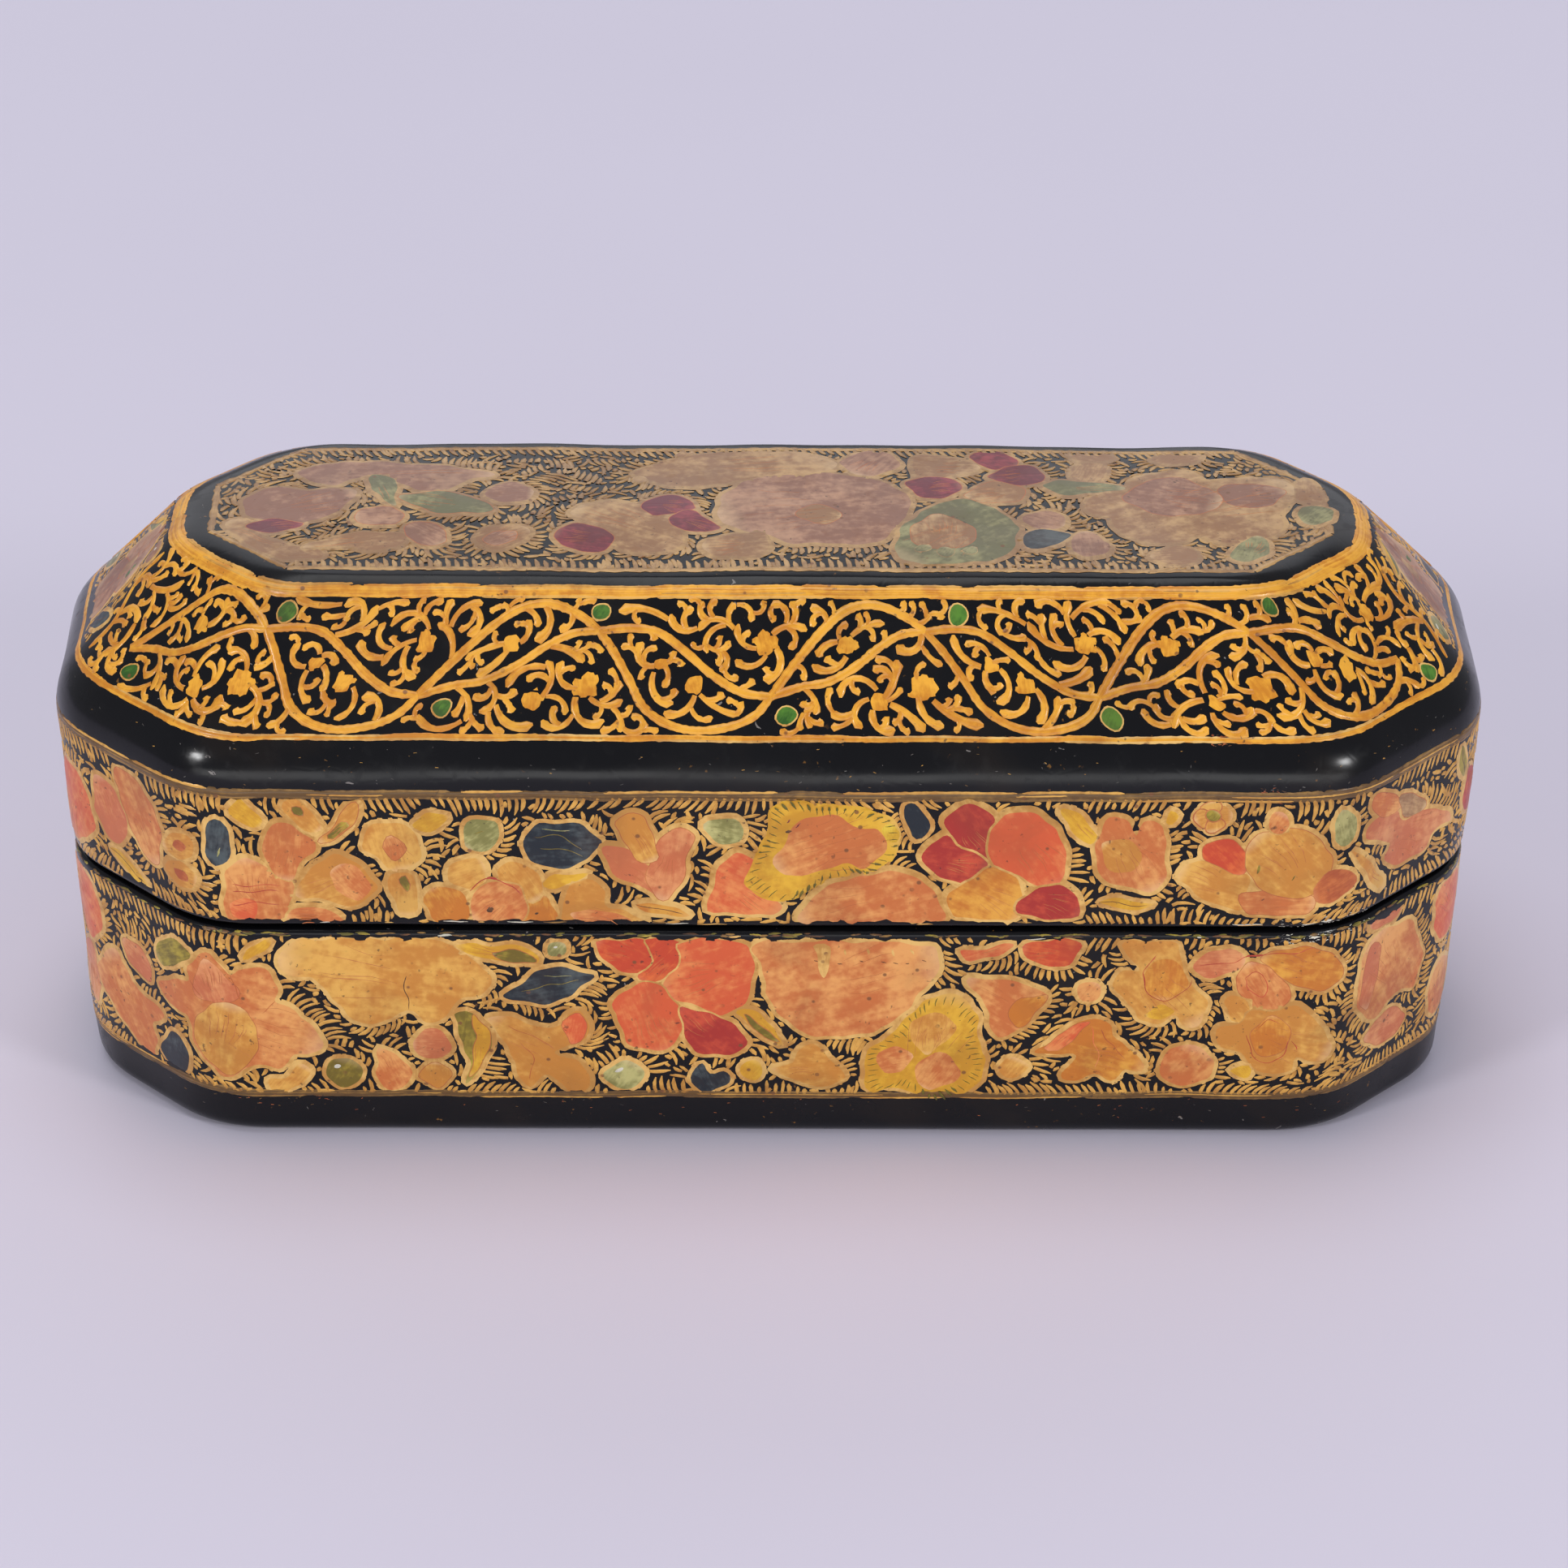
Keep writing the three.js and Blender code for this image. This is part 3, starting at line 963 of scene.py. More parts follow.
    def stroke(self, layer, line, width, paint, height=0.02, lift=0.0, ends=(0.4, 0.25), grain=0.08):
        """A domed brush stroke. The ends give how much of the width is left at each end."""
        if len(line) < 2:
            return
        reach = np.concatenate([[0], np.cumsum(np.linalg.norm(np.diff(line, axis=0), axis=1))])
        long = max(reach[-1], 1e-6)
        ramp = min(0.3, width / long)
        share = np.interp(reach / long, [0, ramp, 1 - ramp, 1], [ends[0], 1, 1, ends[1]])
        if ends[1] > 1:
            share = np.interp(reach / long, [0, 0.25, 0.6, 0.88, 1], [ends[0], 1, 1, ends[1], 0.45])
        share = share * np.array([1 + grain * self.random.uniform(-1, 1) for _ in reach])
        if width < 0.3:
            cross, dome, slant = np.array([-1, 0, 1]), np.array([0, 1, 0]), np.array([-0.7, 0, 0.7])
        else:
            cross = np.array([-1, -0.55, 0, 0.55, 1])
            dome, slant = np.array([0, 0.8, 1, 0.8, 0]), np.array([-0.9, -0.4, 0, 0.4, 0.9])
        side = turned(directions(line), -math.pi / 2)
        offsets = np.outer(share * width / 2, cross)
        points = (line[:, None] + side[:, None] * offsets[..., None]).reshape(-1, 2)
        lifts = np.tile(lift - 0.01 + dome * (height + 0.01), len(line))
        leans = (side[:, None] * slant[:, None]).reshape(-1, 2)
        across = len(cross)
        a = (np.arange(len(line) - 1)[:, None] * across + np.arange(across - 1)).reshape(-1)
        b, c, d = a + 1, a + across, a + across + 1
        triangles = np.concatenate([np.column_stack([a, d, c]), np.column_stack([a, b, d])])
        uv = np.column_stack([np.repeat(reach / long, across), np.tile(cross / 2 + 0.5, len(line))])
        count = len(triangles)
        paints = np.full(count, PAINT_ORDER[self.swap.get(paint, paint)])
        batches = np.full(count, self.random.random())
        layer.add(points, lifts, leans, triangles, paints, uv[triangles], batches)

    def leaf(self, root, tip, width, paint, other=None):
        """A leaf with a rib. Its far half may be painted in another colour."""
        blade = petal(paint, root, tip, width, 0.5, 0.8)
        count = len(blade.outline) // 2
        parts = [blade]
        rib = blade.root + np.outer(np.linspace(0, 1, 9), blade.tip - blade.root)
        if other:
            half = np.concatenate([rib, blade.outline[count + 1 :]])
            parts.append(Part(other, half, blade.root, blade.tip, 0))
        self.motif(parts, [(rib[:-1], 0.14, "umber")])

    def ball(self, centre, radius, paint, rim=EDGE, shine=True):
        """A round bud, with a white glint where it shines."""
        parts = [lobed(paint, centre, radius, rim)]
        if shine:
            spot = (centre[0] - radius * 0.25, centre[1] + radius * 0.35)
            parts.append(lobed("white", spot, radius * 0.22, 0, squash=0.6, turn=0.5))
        self.motif(parts)

    def veins(self, root, tip, width, paint, count):
        """Fine strokes that fan out over a petal."""
        root, tip = np.array(root, float), np.array(tip, float)
        along = tip - root
        across = turned(along[None], math.pi / 2)[0] / max(float(np.hypot(*along)), 1e-6)
        lines = []
        for i in range(count):
            side = ((i + 0.5) / count - 0.5) * 0.75 + self.random.uniform(-0.05, 0.05)
            start = self.random.uniform(0.3, 0.5)
            end = self.random.uniform(0.7, 0.88) - abs(side) * 0.3
            s = np.linspace(start, end, 4)
            line = root + np.outer(s, along) + np.outer(side * width * s**0.7, across)
            lines.append((line, 0.09, paint))
        return lines

    def fine_veins(self, part):
        """Veins that fan out over a free outline, where they stay inside it."""
        along = part.tip - part.root
        long = float(np.hypot(*along))
        if long < 2 or part.paint in ("indigo", "olive"):
            return []
        rows, columns = self.stack.inside(self.flat(part.outline))
        within = set(zip(rows.tolist(), columns.tolist()))
        kept = []
        for line, width, paint in self.veins(part.root - along * 0.7, part.tip, long * 1.7, "crease", 7):
            row, column, _ = self.stack.cells(self.flat(line))
            if set(zip(row.tolist(), column.tolist())) <= within:
                kept.append((line, width, paint))
        return kept

    def blossom(self, centre, petals, heart, radius):
        """Petals from one centre, each given by its tip, width and paint, round a heart."""
        parts, lines = [], []
        for x, t, width, paint in petals:
            parts.append(petal(paint, centre, (x, t), width))
            lines += self.veins(centre, (x, t), width, "russet", 3)
        self.motif(parts + [lobed(heart, centre, radius, 0.14, 6, 0.1)], lines)

    def rosette(self, centre, radius, paint, heart, petals):
        """A small open flower with a round heart."""
        parts = []
        for i in range(petals):
            a = 0.3 + 2 * math.pi * i / petals
            tip = (centre[0] + radius * math.cos(a), centre[1] + radius * math.sin(a))
            parts.append(petal(paint, centre, tip, radius * 1.15, edge=EDGE * 0.8))
        self.motif(parts + [lobed(heart, centre, radius * 0.35, 0.12)])

    def comma(self, room, start, way, long, bend, width):
        """A short curved stroke, shortened to fit, or left out where there is no room."""
        for reach in (long, long * 0.7, long * 0.45):
            if reach < 0.35:
                return False
            s = np.linspace(0, 1, 4)[:, None]
            across = turned(way[None], math.pi / 2)[0]
            line = start + way * reach * s + across * bend * reach * s * s
            if room.free(line[1:]):
                room.take(line[1:])
                self.stroke(self.gold, line, width, "ground", ends=(0.9, 0.3))
                return True
        return False

    def fill_ground(self, room, tries, pitch=0.46, widths=(0.3, 0.42), comb=True):
        """Gold commas: a comb along both edges, rays round every motif, then groups between."""
        draw = self.random.uniform
        for outline in self.claims:
            room.fill(grown(outline, 0.05))
        if self.around and comb:
            for edge, way in ((self.low, 1), (self.high, -1)):
                x = self.left
                while x < self.left + self.wide:
                    x += draw(0.46, 0.6)
                    start = np.array([x, edge - way * 0.1])
                    tilt = np.array([0.5 * math.sin(0.21 * x) + draw(-0.1, 0.1), way * 1.0])
                    self.comma(room, start, tilt, draw(0.9, 1.4), 0.5 * math.sin(0.13 * x), draw(*widths))
        for outline in self.claims:
            ring_line = smooth(outline[::2], True, 0.15)
            travelled = np.cumsum(np.linalg.norm(np.diff(ring_line, axis=0), axis=1))
            spots = np.searchsorted(travelled, np.arange(0, travelled[-1], pitch))
            outward = -turned(directions(ring_line, True), math.pi / 2)
            lean, bend, long = draw(-0.9, 0.9), draw(-0.9, 0.9), draw(0.8, 1.5)
            for spot in spots:
                way = turned(outward[spot][None], lean)[0]
                start = ring_line[spot] - outward[spot] * 0.05
                self.comma(room, start, way, long * draw(0.8, 1.1), bend, draw(*widths))
        for attempt in range(tries):
            if attempt % 150 == 0:
                open_cells = np.argwhere(~room.taken)
                if len(open_cells) == 0:
                    break
            row, column = open_cells[int(self.random.random() * len(open_cells))]
            start = room.corner + (np.array([column, row]) + 0.5) / room.CELLS
            angle = 3 * math.sin(0.31 * start[0] + 1) + 2 * math.sin(0.5 * start[1]) + draw(-0.4, 0.4)
            way = np.array([math.cos(angle), math.sin(angle)])
            beside = turned(way[None], math.pi / 2)[0] * draw(0.46, 0.54)
            bend, long = draw(-1.1, 1.1), draw(0.7, 1.5)
            for i in range(5):
                if not self.comma(room, start + beside * i, way, long, bend, draw(*widths)):
                    break

    def grow(self, room, vines, tries, long, width):
        """Side shoots: each leaves a vine, winds into free space and ends in a bud."""
        draw = self.random.uniform
        for _ in range(tries):
            vine = vines[int(self.random.random() * len(vines))]
            i = int(draw(0.1, 1) * (len(vine) - 1))
            way = directions(vine)[i]
            side = self.random.choice((-1, 1))
            wind, reach = draw(0.5, 2.6), draw(*long)
            s = np.linspace(0, 1, 9)
            angle = math.atan2(way[1], way[0]) + side * (draw(0.35, 0.9) + wind * s**1.3)
            steps = np.column_stack([np.cos(angle), np.sin(angle)]) * reach / 8
            line = vine[i] + np.cumsum(steps, axis=0)
            clear = line[np.linalg.norm(line - vine[i], axis=1) > 0.75]
            if len(clear) > 2 and room.free(clear):
                room.take(smooth(line, step=0.15))
                self.stroke(self.gold, line, draw(*width), "scroll", 0.05, 0, (0.8, 1.5), 0.14)
                vines.append(line)

    def border(self, t, width, strands, dark="border", paints=("border", "ground", "border")):
        """A rubbed gold line right round: a dark band with long broken strokes over it."""
        x = np.arange(self.left, self.left + self.wide + 0.2, 0.4)
        line = np.column_stack([x, t + 0.03 * np.sin(0.7 * x)])
        self.stroke(self.gold, line, width, dark, 0.012, 0, (1, 1), 0.12)
        for i in range(strands):
            x = self.left + self.random.uniform(0, 3)
            while x < self.left + self.wide:
                long = self.random.uniform(2, 14)
                at = t + width * ((i + 0.5) / strands - 0.5) + self.random.uniform(-0.04, 0.04)
                run = np.arange(x, min(x + long, self.left + self.wide), 0.35)
                line = np.column_stack([run, at + 0.03 * np.sin(0.7 * run)])
                paint = self.random.choice(paints)
                self.stroke(self.gold, line, width / strands * 1.05, paint, 0.022, 0, (0.3, 0.3), 0.25)
                x += long + self.random.uniform(0.05, 0.9)

    def edge_wear_and_painted_highlights(self, t, count, long, paints):
        """Short broken strokes along an edge. In dark paints they are the mottle of a handled edge; in white
        and cream they are painted highlights where the edge would catch the light.
        """
        for _ in range(count):
            p = self.random.uniform(self.left, self.left + self.wide)
            run = np.linspace(p, p + self.random.uniform(*long), 4)
            line = np.column_stack([run, t + self.random.uniform(-0.12, 0.12) + 0.04 * np.sin(3 * run)])
            self.stroke(self.gold, line, self.random.uniform(0.14, 0.3), self.random.choice(paints), 0.015)

    def flecks(self, along, up, count, paints):
        """Specks of stray paint and dirt between two distances along and up the wall."""
        for _ in range(count):
            spot = np.array([self.random.uniform(*along), self.random.uniform(*up)])
            drag = [self.random.uniform(0.08, 0.24), self.random.uniform(-0.1, 0.1)]
            line = spot + np.array([[0, 0], drag])
            self.stroke(self.gold, line, self.random.uniform(0.1, 0.24), self.random.choice(paints), 0.012)

    def finish(self):
        for layer, kind, slot in (
            (self.flowers, "flowers", "painted_lacquer"),
            (self.lines, "lines", "painted_lacquer"),
            (self.gold, "gold", "gold_paint"),
        ):
            if layer.count:
                rows = 4 if self.around else 2
                layer.finish(self.name + "_" + kind, self.body, slot, rows, self.left, self.wide)


# The flowers of the base's front, from left to right. p runs round the box, t up the wall.
def base_bouquet(on):
    on.flower(("coral", (-56, 18.2), (-53.4, 18.8), (-51.6, 17.6), (-51, 14.6), (-53, 13), (-55.4, 15)))
    on.flower(
        ("salmon", (-50.7, 12.7), (-49.3, 13.4), (-47.6, 11.4), (-44.2, 9.9), (-45.7, 8.5), (-45.3, 6.9),
            (-46.4, 4.9), (-48.4, 6.2), (-50.4, 8), (-52, 10.4)),
        ("rose", (-54.6, 11.4), (-52.8, 12.4), (-52, 10), (-52.6, 7.2), (-54, 8)),
        ("rose", (-48.6, 14.6), (-46.8, 15.1), (-45.3, 13.6), (-45.7, 12.4), (-47.6, 12.9)),
    )
    on.plain(
        ("indigo", (-44.8, 6.9), (-43.3, 8.8), (-42, 8.2), (-41.8, 6.6), (-42.8, 5.1), (-44.3, 5.7)),
        ("olive", (-44.7, 15.4), (-43.9, 16.6), (-42.4, 17.4), (-41.2, 16.8), (-42.2, 15.5), (-44, 14.6)),
        ("straw", (-37.1, 17.4), (-36.4, 18.2), (-35.1, 18.9), (-35.1, 18.1), (-36.8, 17.2)),
    )
    on.flower(
        ("salmon", (-44.5, 12.7), (-42.4, 14), (-41.3, 14.3), (-41.3, 15.5), (-40.3, 16.9), (-39.3, 17.2),
            (-37.8, 15.7), (-36.9, 16.3), (-35.6, 16.2), (-34.6, 14.7), (-34.8, 13.4), (-33.5, 12.7),
            (-31.9, 10.3), (-31.9, 9), (-33.9, 8.4), (-34.8, 7.1), (-36.5, 7.6), (-38.4, 6.3), (-39.4, 6.5),
            (-41.3, 8.8), (-41.5, 11.1), (-43.4, 11.4)),
        ("rose", (-40.8, 13.4), (-40.2, 16.2), (-39, 16.4), (-37.4, 14), (-38.4, 13)),
        ("ochre", (-41.2, 10), (-40, 12.2), (-38.3, 13.1), (-36.8, 12.4), (-36.3, 10.6), (-36.5, 8.6),
            (-37.5, 7.1), (-38.6, 6.5), (-39.8, 7.1), (-40.9, 8.5)),
        lines=[
            (0.16, "russet", (-41.2, 14.3), (-40.2, 13.2)),
            (0.16, "russet", (-37.8, 15.7), (-37.6, 14), (-36.6, 12.8)),
            (0.16, "russet", (-34.8, 13.4), (-35.8, 12.4)),
        ],
    )
    on.flower(("ochre", (-35.6, 6.2), (-34.3, 6.4), (-33.5, 7.7), (-32.8, 7.4), (-33.1, 5.9), (-35.3, 4.9)))
    on.ball((-30.2, 6.9), 1.35, "olive")
    on.flower(
        ("ochre", (-34.6, 16.6), (-33.9, 17.9), (-32.9, 18.8), (-28.8, 18.9), (-23.7, 18.9), (-22.4, 18.4),
            (-21, 17.4), (-19.5, 15.5), (-20.2, 14.2), (-21.8, 13.6), (-23, 12), (-24.2, 11.7),
            (-25.1, 12.7), (-25.9, 12.5), (-27.4, 11.6), (-29.2, 11.8), (-30.6, 13.2), (-31.8, 15.2),
            (-33.2, 15.6)),
        lines=[(0.14, "umber", (-25.4, 12.8), (-25.7, 14.4), (-25.5, 15.8))],
    )
    on.flower(("salmon", (-27.8, 8.9), (-27.1, 9.2), (-25.5, 7.4), (-25.8, 5.9), (-26.8, 5.2),
        (-27.8, 6.2)))
    on.flower(
        ("rose", (-25.4, 9.6), (-24.6, 10.7), (-23.5, 11.1), (-22.5, 10.1), (-22.8, 8.9), (-24.5, 8.4)),
        ("ochre", (-24.9, 6.6), (-23.7, 8), (-22.5, 6.6), (-23.7, 5.4)),
    )
    on.flower(
        ("straw", (-22.2, 18.4), (-18.9, 18.4), (-17.1, 18.2), (-16.1, 17.1), (-18.4, 16.9), (-20.4, 17.4)),
        ("olive", (-19.6, 17.8), (-17.4, 17.8), (-16.3, 17.1), (-18.4, 16.9)),
    )
    on.ball((-15, 18.1), 0.75, "pearl")
    on.flower(
        ("indigo", (-18.8, 14.1), (-17.7, 14.9), (-16.8, 15.9), (-15.3, 16.4), (-12.5, 15.9), (-13.2, 14.8),
            (-14.6, 13.8), (-16.5, 13.3)),
        lines=[
            (0.12, "olive", (-17.4, 14.3), (-15.4, 14.9), (-13.4, 15.4)),
            (0.1, "pearl", (-16, 15.6), (-13.8, 15.7)),
        ],
    )
    on.flower(
        ("olive", (-22.1, 12.5), (-20.9, 12.5), (-19.7, 10.4), (-20.2, 8.2), (-21.5, 6), (-21.3, 8.2),
            (-22.2, 11.6)),
        ("straw", (-20.9, 12.4), (-19.8, 10.4), (-20.3, 8.2), (-21.3, 6.6), (-20.8, 9.4)),
    )
    on.flower(
        ("ochre", (-19.7, 12.2), (-16.9, 11.6), (-15.4, 11.1), (-14.5, 11.6), (-14.2, 12.2), (-13.4, 12.6),
            (-12.8, 11.8), (-12.9, 10.4), (-15.1, 9.2), (-13.3, 8), (-12.7, 6.5), (-13.1, 5.3), (-14, 5.2),
            (-15.8, 6.9), (-16.6, 5.9), (-17.3, 6), (-18.6, 9.4)),
        ("coral", (-14.6, 11.4), (-14.2, 12), (-13.4, 12.4), (-12.9, 11.7), (-13.1, 10.5), (-14.1, 9.8)),
        lines=[
            (0.12, "russet", (-18.4, 11.4), (-16.4, 10.2), (-15.2, 9.4)),
            (0.12, "russet", (-17, 6.6), (-16.8, 8.4), (-17.6, 10)),
        ],
    )
    on.ball((-10.3, 6.8), 1.35, "pearl", 0.45)
    on.flower(
        ("vermilion", (-12.1, 18.2), (-11.7, 18.8), (-8.8, 18.8), (-8.2, 17.1), (-9, 16.1), (-10.6, 16.2)),
        ("vermilion", (-8.7, 18.8), (-6.1, 18.8), (-6.2, 17.1), (-7, 15.7), (-8.2, 15.2), (-9.3, 15.7),
            (-8.2, 17.1)),
        ("coral", (-6.1, 18.8), (-1.9, 18.7), (-1.2, 16.9), (-1.4, 14.2), (-2.2, 12.9), (-3.5, 12.4),
            (-5.1, 13.1), (-7.5, 14.6), (-6.2, 16.9)),
        ("coral", (-11, 13), (-10.1, 14.6), (-8.8, 15.2), (-7.3, 14.6), (-6.1, 12.1), (-6.5, 10),
            (-7.9, 9.1), (-9.9, 9.8)),
        ("crimson", (-6.4, 13.1), (-5.1, 12.6), (-3.5, 12.3), (-1.7, 10.5), (-2.1, 9.1), (-3.5, 8.7),
            (-5, 8.8), (-5.9, 10.7)),
        crease=0.14,
        between="outline",
    )
    on.flower(
        ("straw", (-2.3, 12.4), (-1.5, 12.8), (-0.2, 11.9), (1.1, 9.6), (0, 10.1), (-1.1, 11.2)),
        ("olive", (-1.8, 12.2), (-0.4, 11.3), (0.8, 9.9), (-0.2, 10.3)),
    )
    on.flower(("indigo", (-5.4, 6.9), (-4.9, 7.8), (-4.2, 7), (-3.3, 7.2), (-2.8, 6), (-4.2, 5),
        (-5.2, 5.8)))
    on.ball((-1.2, 7.2), 0.85, "straw", shine=False)
    peony = [(0.22, "umber", (x, 17.1), (x + 0.3, 17)) for x in (3, 4.8, 6.4, 7.9, 8.6, 9.4, 10.8)]
    peony += [(0.3, "outline", (x, 18.2), (x + 0.1, 17.7)) for x in (5.4, 6.8, 8.6, 10)]
    on.flower(
        ("salmon", (-0.9, 18.6), (3.2, 18.8), (6.8, 18.8), (11.1, 18.5), (12, 17.1), (11.2, 15.3),
            (9.1, 12.4), (7.6, 11.2), (5.6, 10.5), (3.4, 10.5), (1.6, 11.4), (0.1, 13.7), (-0.6, 16.6)),
        ("outline", (3.1, 18.3), (4.3, 18.3), (3.8, 15.8)),
        lines=peony,
        rim=False,
    )
    on.flower(("ochre", (0.2, 7.5), (1.6, 8), (2.3, 9.3), (3.1, 9.9), (3.8, 9), (5.5, 7.1), (5.1, 6.2),
        (2.9, 5.9)))
    rim = ((6.9, 8.8), (7.5, 9.8), (9.1, 11.2), (10.2, 13), (11.4, 14), (13.2, 14.2), (14.2, 13.3),
        (14.9, 11.9), (14.8, 10.2), (15.4, 8.3), (15.2, 6.6), (13.7, 4.9), (12, 4.2), (10.3, 5.1),
        (8.8, 5.6), (7.5, 5.2), (6.8, 6.6))
    on.flower(
        ("straw", *rim),
        ("salmon", (7.7, 8.1), (8.2, 9.2), (9.1, 9.5), (10.2, 8.6), (9.5, 7.2), (8.2, 7.2)),
        ("ochre", (10, 11.4), (10.9, 12.4), (12.4, 12.5), (13.2, 11.6), (12.6, 10), (11.3, 8.8),
            (10.4, 9.8)),
        ("salmon", (10.5, 7.6), (11.4, 8.7), (12.6, 8.8), (13.5, 7.6), (13.2, 6.2), (11.4, 5.6),
            (10.6, 6.5)),
        lines=on.hatch(rim, (11.2, 8.6)),
        rim=False,
    )
    on.plain(
        ("coral", (13.3, 18.2), (15, 18.1), (17.1, 18.6), (16.4, 17.7), (14.1, 17.2)),
        ("vermilion", (17.8, 18.7), (21.8, 18.8), (21.3, 17.2), (20, 16.6), (18.5, 17.2)),
    )
    on.flower(
        ("salmon", (13.9, 15.4), (15, 15.7), (16.7, 15.5), (18.5, 14.9), (19.6, 14.1), (18.8, 12.6),
            (17.7, 11.1), (16.7, 10.5), (16, 10.9), (15, 13.8)),
        ("amber", (16.9, 12.7), (17.8, 13.9), (19.6, 14.2), (18.8, 12.6), (17.6, 11.2)),
    )
    on.ball((17.4, 7.6), 0.95, "ochre", shine=False)
    on.ball((22.6, 14.5), 0.85, "salmon", shine=False)
    on.flower(
        ("amber", (19, 9), (20, 10.1), (21.6, 11.5), (22.7, 12.1), (24, 11.6), (24.6, 10.3), (26.7, 8.1),
            (26.6, 7.2), (25.4, 7.4), (24.5, 6.4), (23.2, 6.8), (21.7, 6.2), (20.8, 6.9), (21.8, 8.7),
            (20.4, 8.8)),
        ("coral", (19.6, 9.5), (21.2, 11.1), (22.7, 11.8), (21.6, 10.2), (20.4, 9.2)),
        lines=[
            (0.14, "coral", (22.8, 11.4), (23.4, 9), (23.2, 7.4)),
            (0.14, "russet", (23.4, 11.2), (25.4, 8.4)),
        ],
    )
    on.flower(
        ("ochre", (24.7, 18.7), (28.3, 18.8), (29.1, 16.9), (29.6, 15.2), (30.9, 13.7), (30.6, 11.8),
            (29.5, 11.4), (28.6, 12.4), (27.5, 11.6), (26.3, 12.1), (25.6, 13.2), (24.4, 14.4),
            (24.2, 15.5), (24.9, 16.4), (26.1, 16.4), (25.3, 17.5)),
        ("amber", (26.4, 15.4), (27, 17), (28.4, 17.3), (29.4, 16), (29, 14.4), (27.6, 13.9)),
        ("straw", (26.6, 12.6), (27.6, 13.4), (28.6, 12.8), (27.6, 12)),
        lines=[
            (0.13, "crimson", (26.4, 16.1), (26.7, 14.6), (27.8, 13.8), (29, 14.2), (29.7, 15.6)),
            (0.12, "crimson", (26.5, 16.6), (27.2, 17.8)),
            (0.12, "crimson", (26.5, 15), (26.4, 16.4), (27.2, 17.6)),
        ],
        rim=False,
    )
    on.flower(
        ("rose", (29.9, 17.1), (30.7, 18.1), (32.5, 18.2), (33.5, 17.2), (32.2, 16.1), (30.6, 15.7)),
        ("amber", (34.7, 17.7), (36.5, 18.2), (38.8, 18.1), (40.4, 16.6), (40.6, 15.2), (39.4, 14.5),
            (38, 14.6), (35.7, 16.3)),
        ("salmon", (32.9, 15.9), (33.7, 17.1), (34.9, 16.9), (36.6, 15.1), (36.5, 13.5), (35.3, 12.8),
            (34.2, 13.2), (33.3, 14.4)),
        lines=[
            (0.14, "crimson", (33.4, 15.9), (34.1, 16.3), (35, 15.3), (34.8, 14.2), (33.9, 14.7),
                (33.4, 15.9)),
            (0.14, "crimson", (30.4, 17), (32, 16.9), (34.2, 17.8), (36.8, 17.8), (38.4, 18.3)),
        ],
    )
    on.flower(("ochre", (32.1, 13.6), (32.7, 14.3), (33.8, 13.6), (34, 12.2), (32.8, 12)))
    on.flower(
        ("ochre", (31.6, 10.3), (32.1, 11.5), (33.3, 11.8), (34, 13), (35.7, 12.9), (37.3, 13.2),
            (38.5, 12.2), (39.2, 11.2), (40.1, 9.6), (39.8, 8.3), (38.6, 8.1), (37.6, 8.6), (37.2, 7.5),
            (36.2, 7.1), (34.7, 7.4), (33.7, 8.7), (32.4, 9.4)),
        ("amber", (34.4, 11.4), (35.6, 12.4), (36.8, 11.6), (36.6, 9.6), (35.4, 8.8), (34.4, 9.6)),
        lines=[
            (0.14, "crimson", (34, 10.6), (34.4, 8.9), (35.5, 8.2), (36.5, 8.8), (36.8, 10.3)),
            (0.12, "crimson", (34.6, 11.4), (35.2, 12), (36.2, 11.7)),
            (0.12, "crimson", (37, 10.2), (37.4, 9.2)),
        ],
    )
    on.ball((29.8, 7.7), 1.95, "salmon", shine=False)
    on.flower(("straw", (33, 7.4), (34.1, 7.9), (34.3, 6.7)))
    on.flower(
        ("salmon", (43.3, 17.2), (45.8, 17.4), (47.7, 17.1), (49.2, 14.6), (49.7, 12.6), (49, 10.7),
            (46.6, 11), (44.3, 9.9), (42.7, 11.1), (42.3, 14.1)),
        ("rose", (43.4, 16.6), (44.6, 15.6), (43.9, 12), (43.2, 11), (42.6, 13)),
        ("rose", (45.1, 9.7), (47.4, 9.5), (48.5, 8.2), (47.2, 7.1), (44.9, 7.2), (43.3, 8.7)),
    )
    on.plain(
        ("coral", (51.2, 18.4), (54.6, 18), (55.2, 15), (52.8, 13.4), (50.8, 15.1)),
        ("rose", (43.2, 18.7), (44.5, 19), (46.5, 18.7), (45.7, 17.9), (44, 18)),
        ("salmon", (52.2, 11.4), (54.6, 10.4), (54.8, 7), (52.4, 6.4), (51.2, 9)),
    )


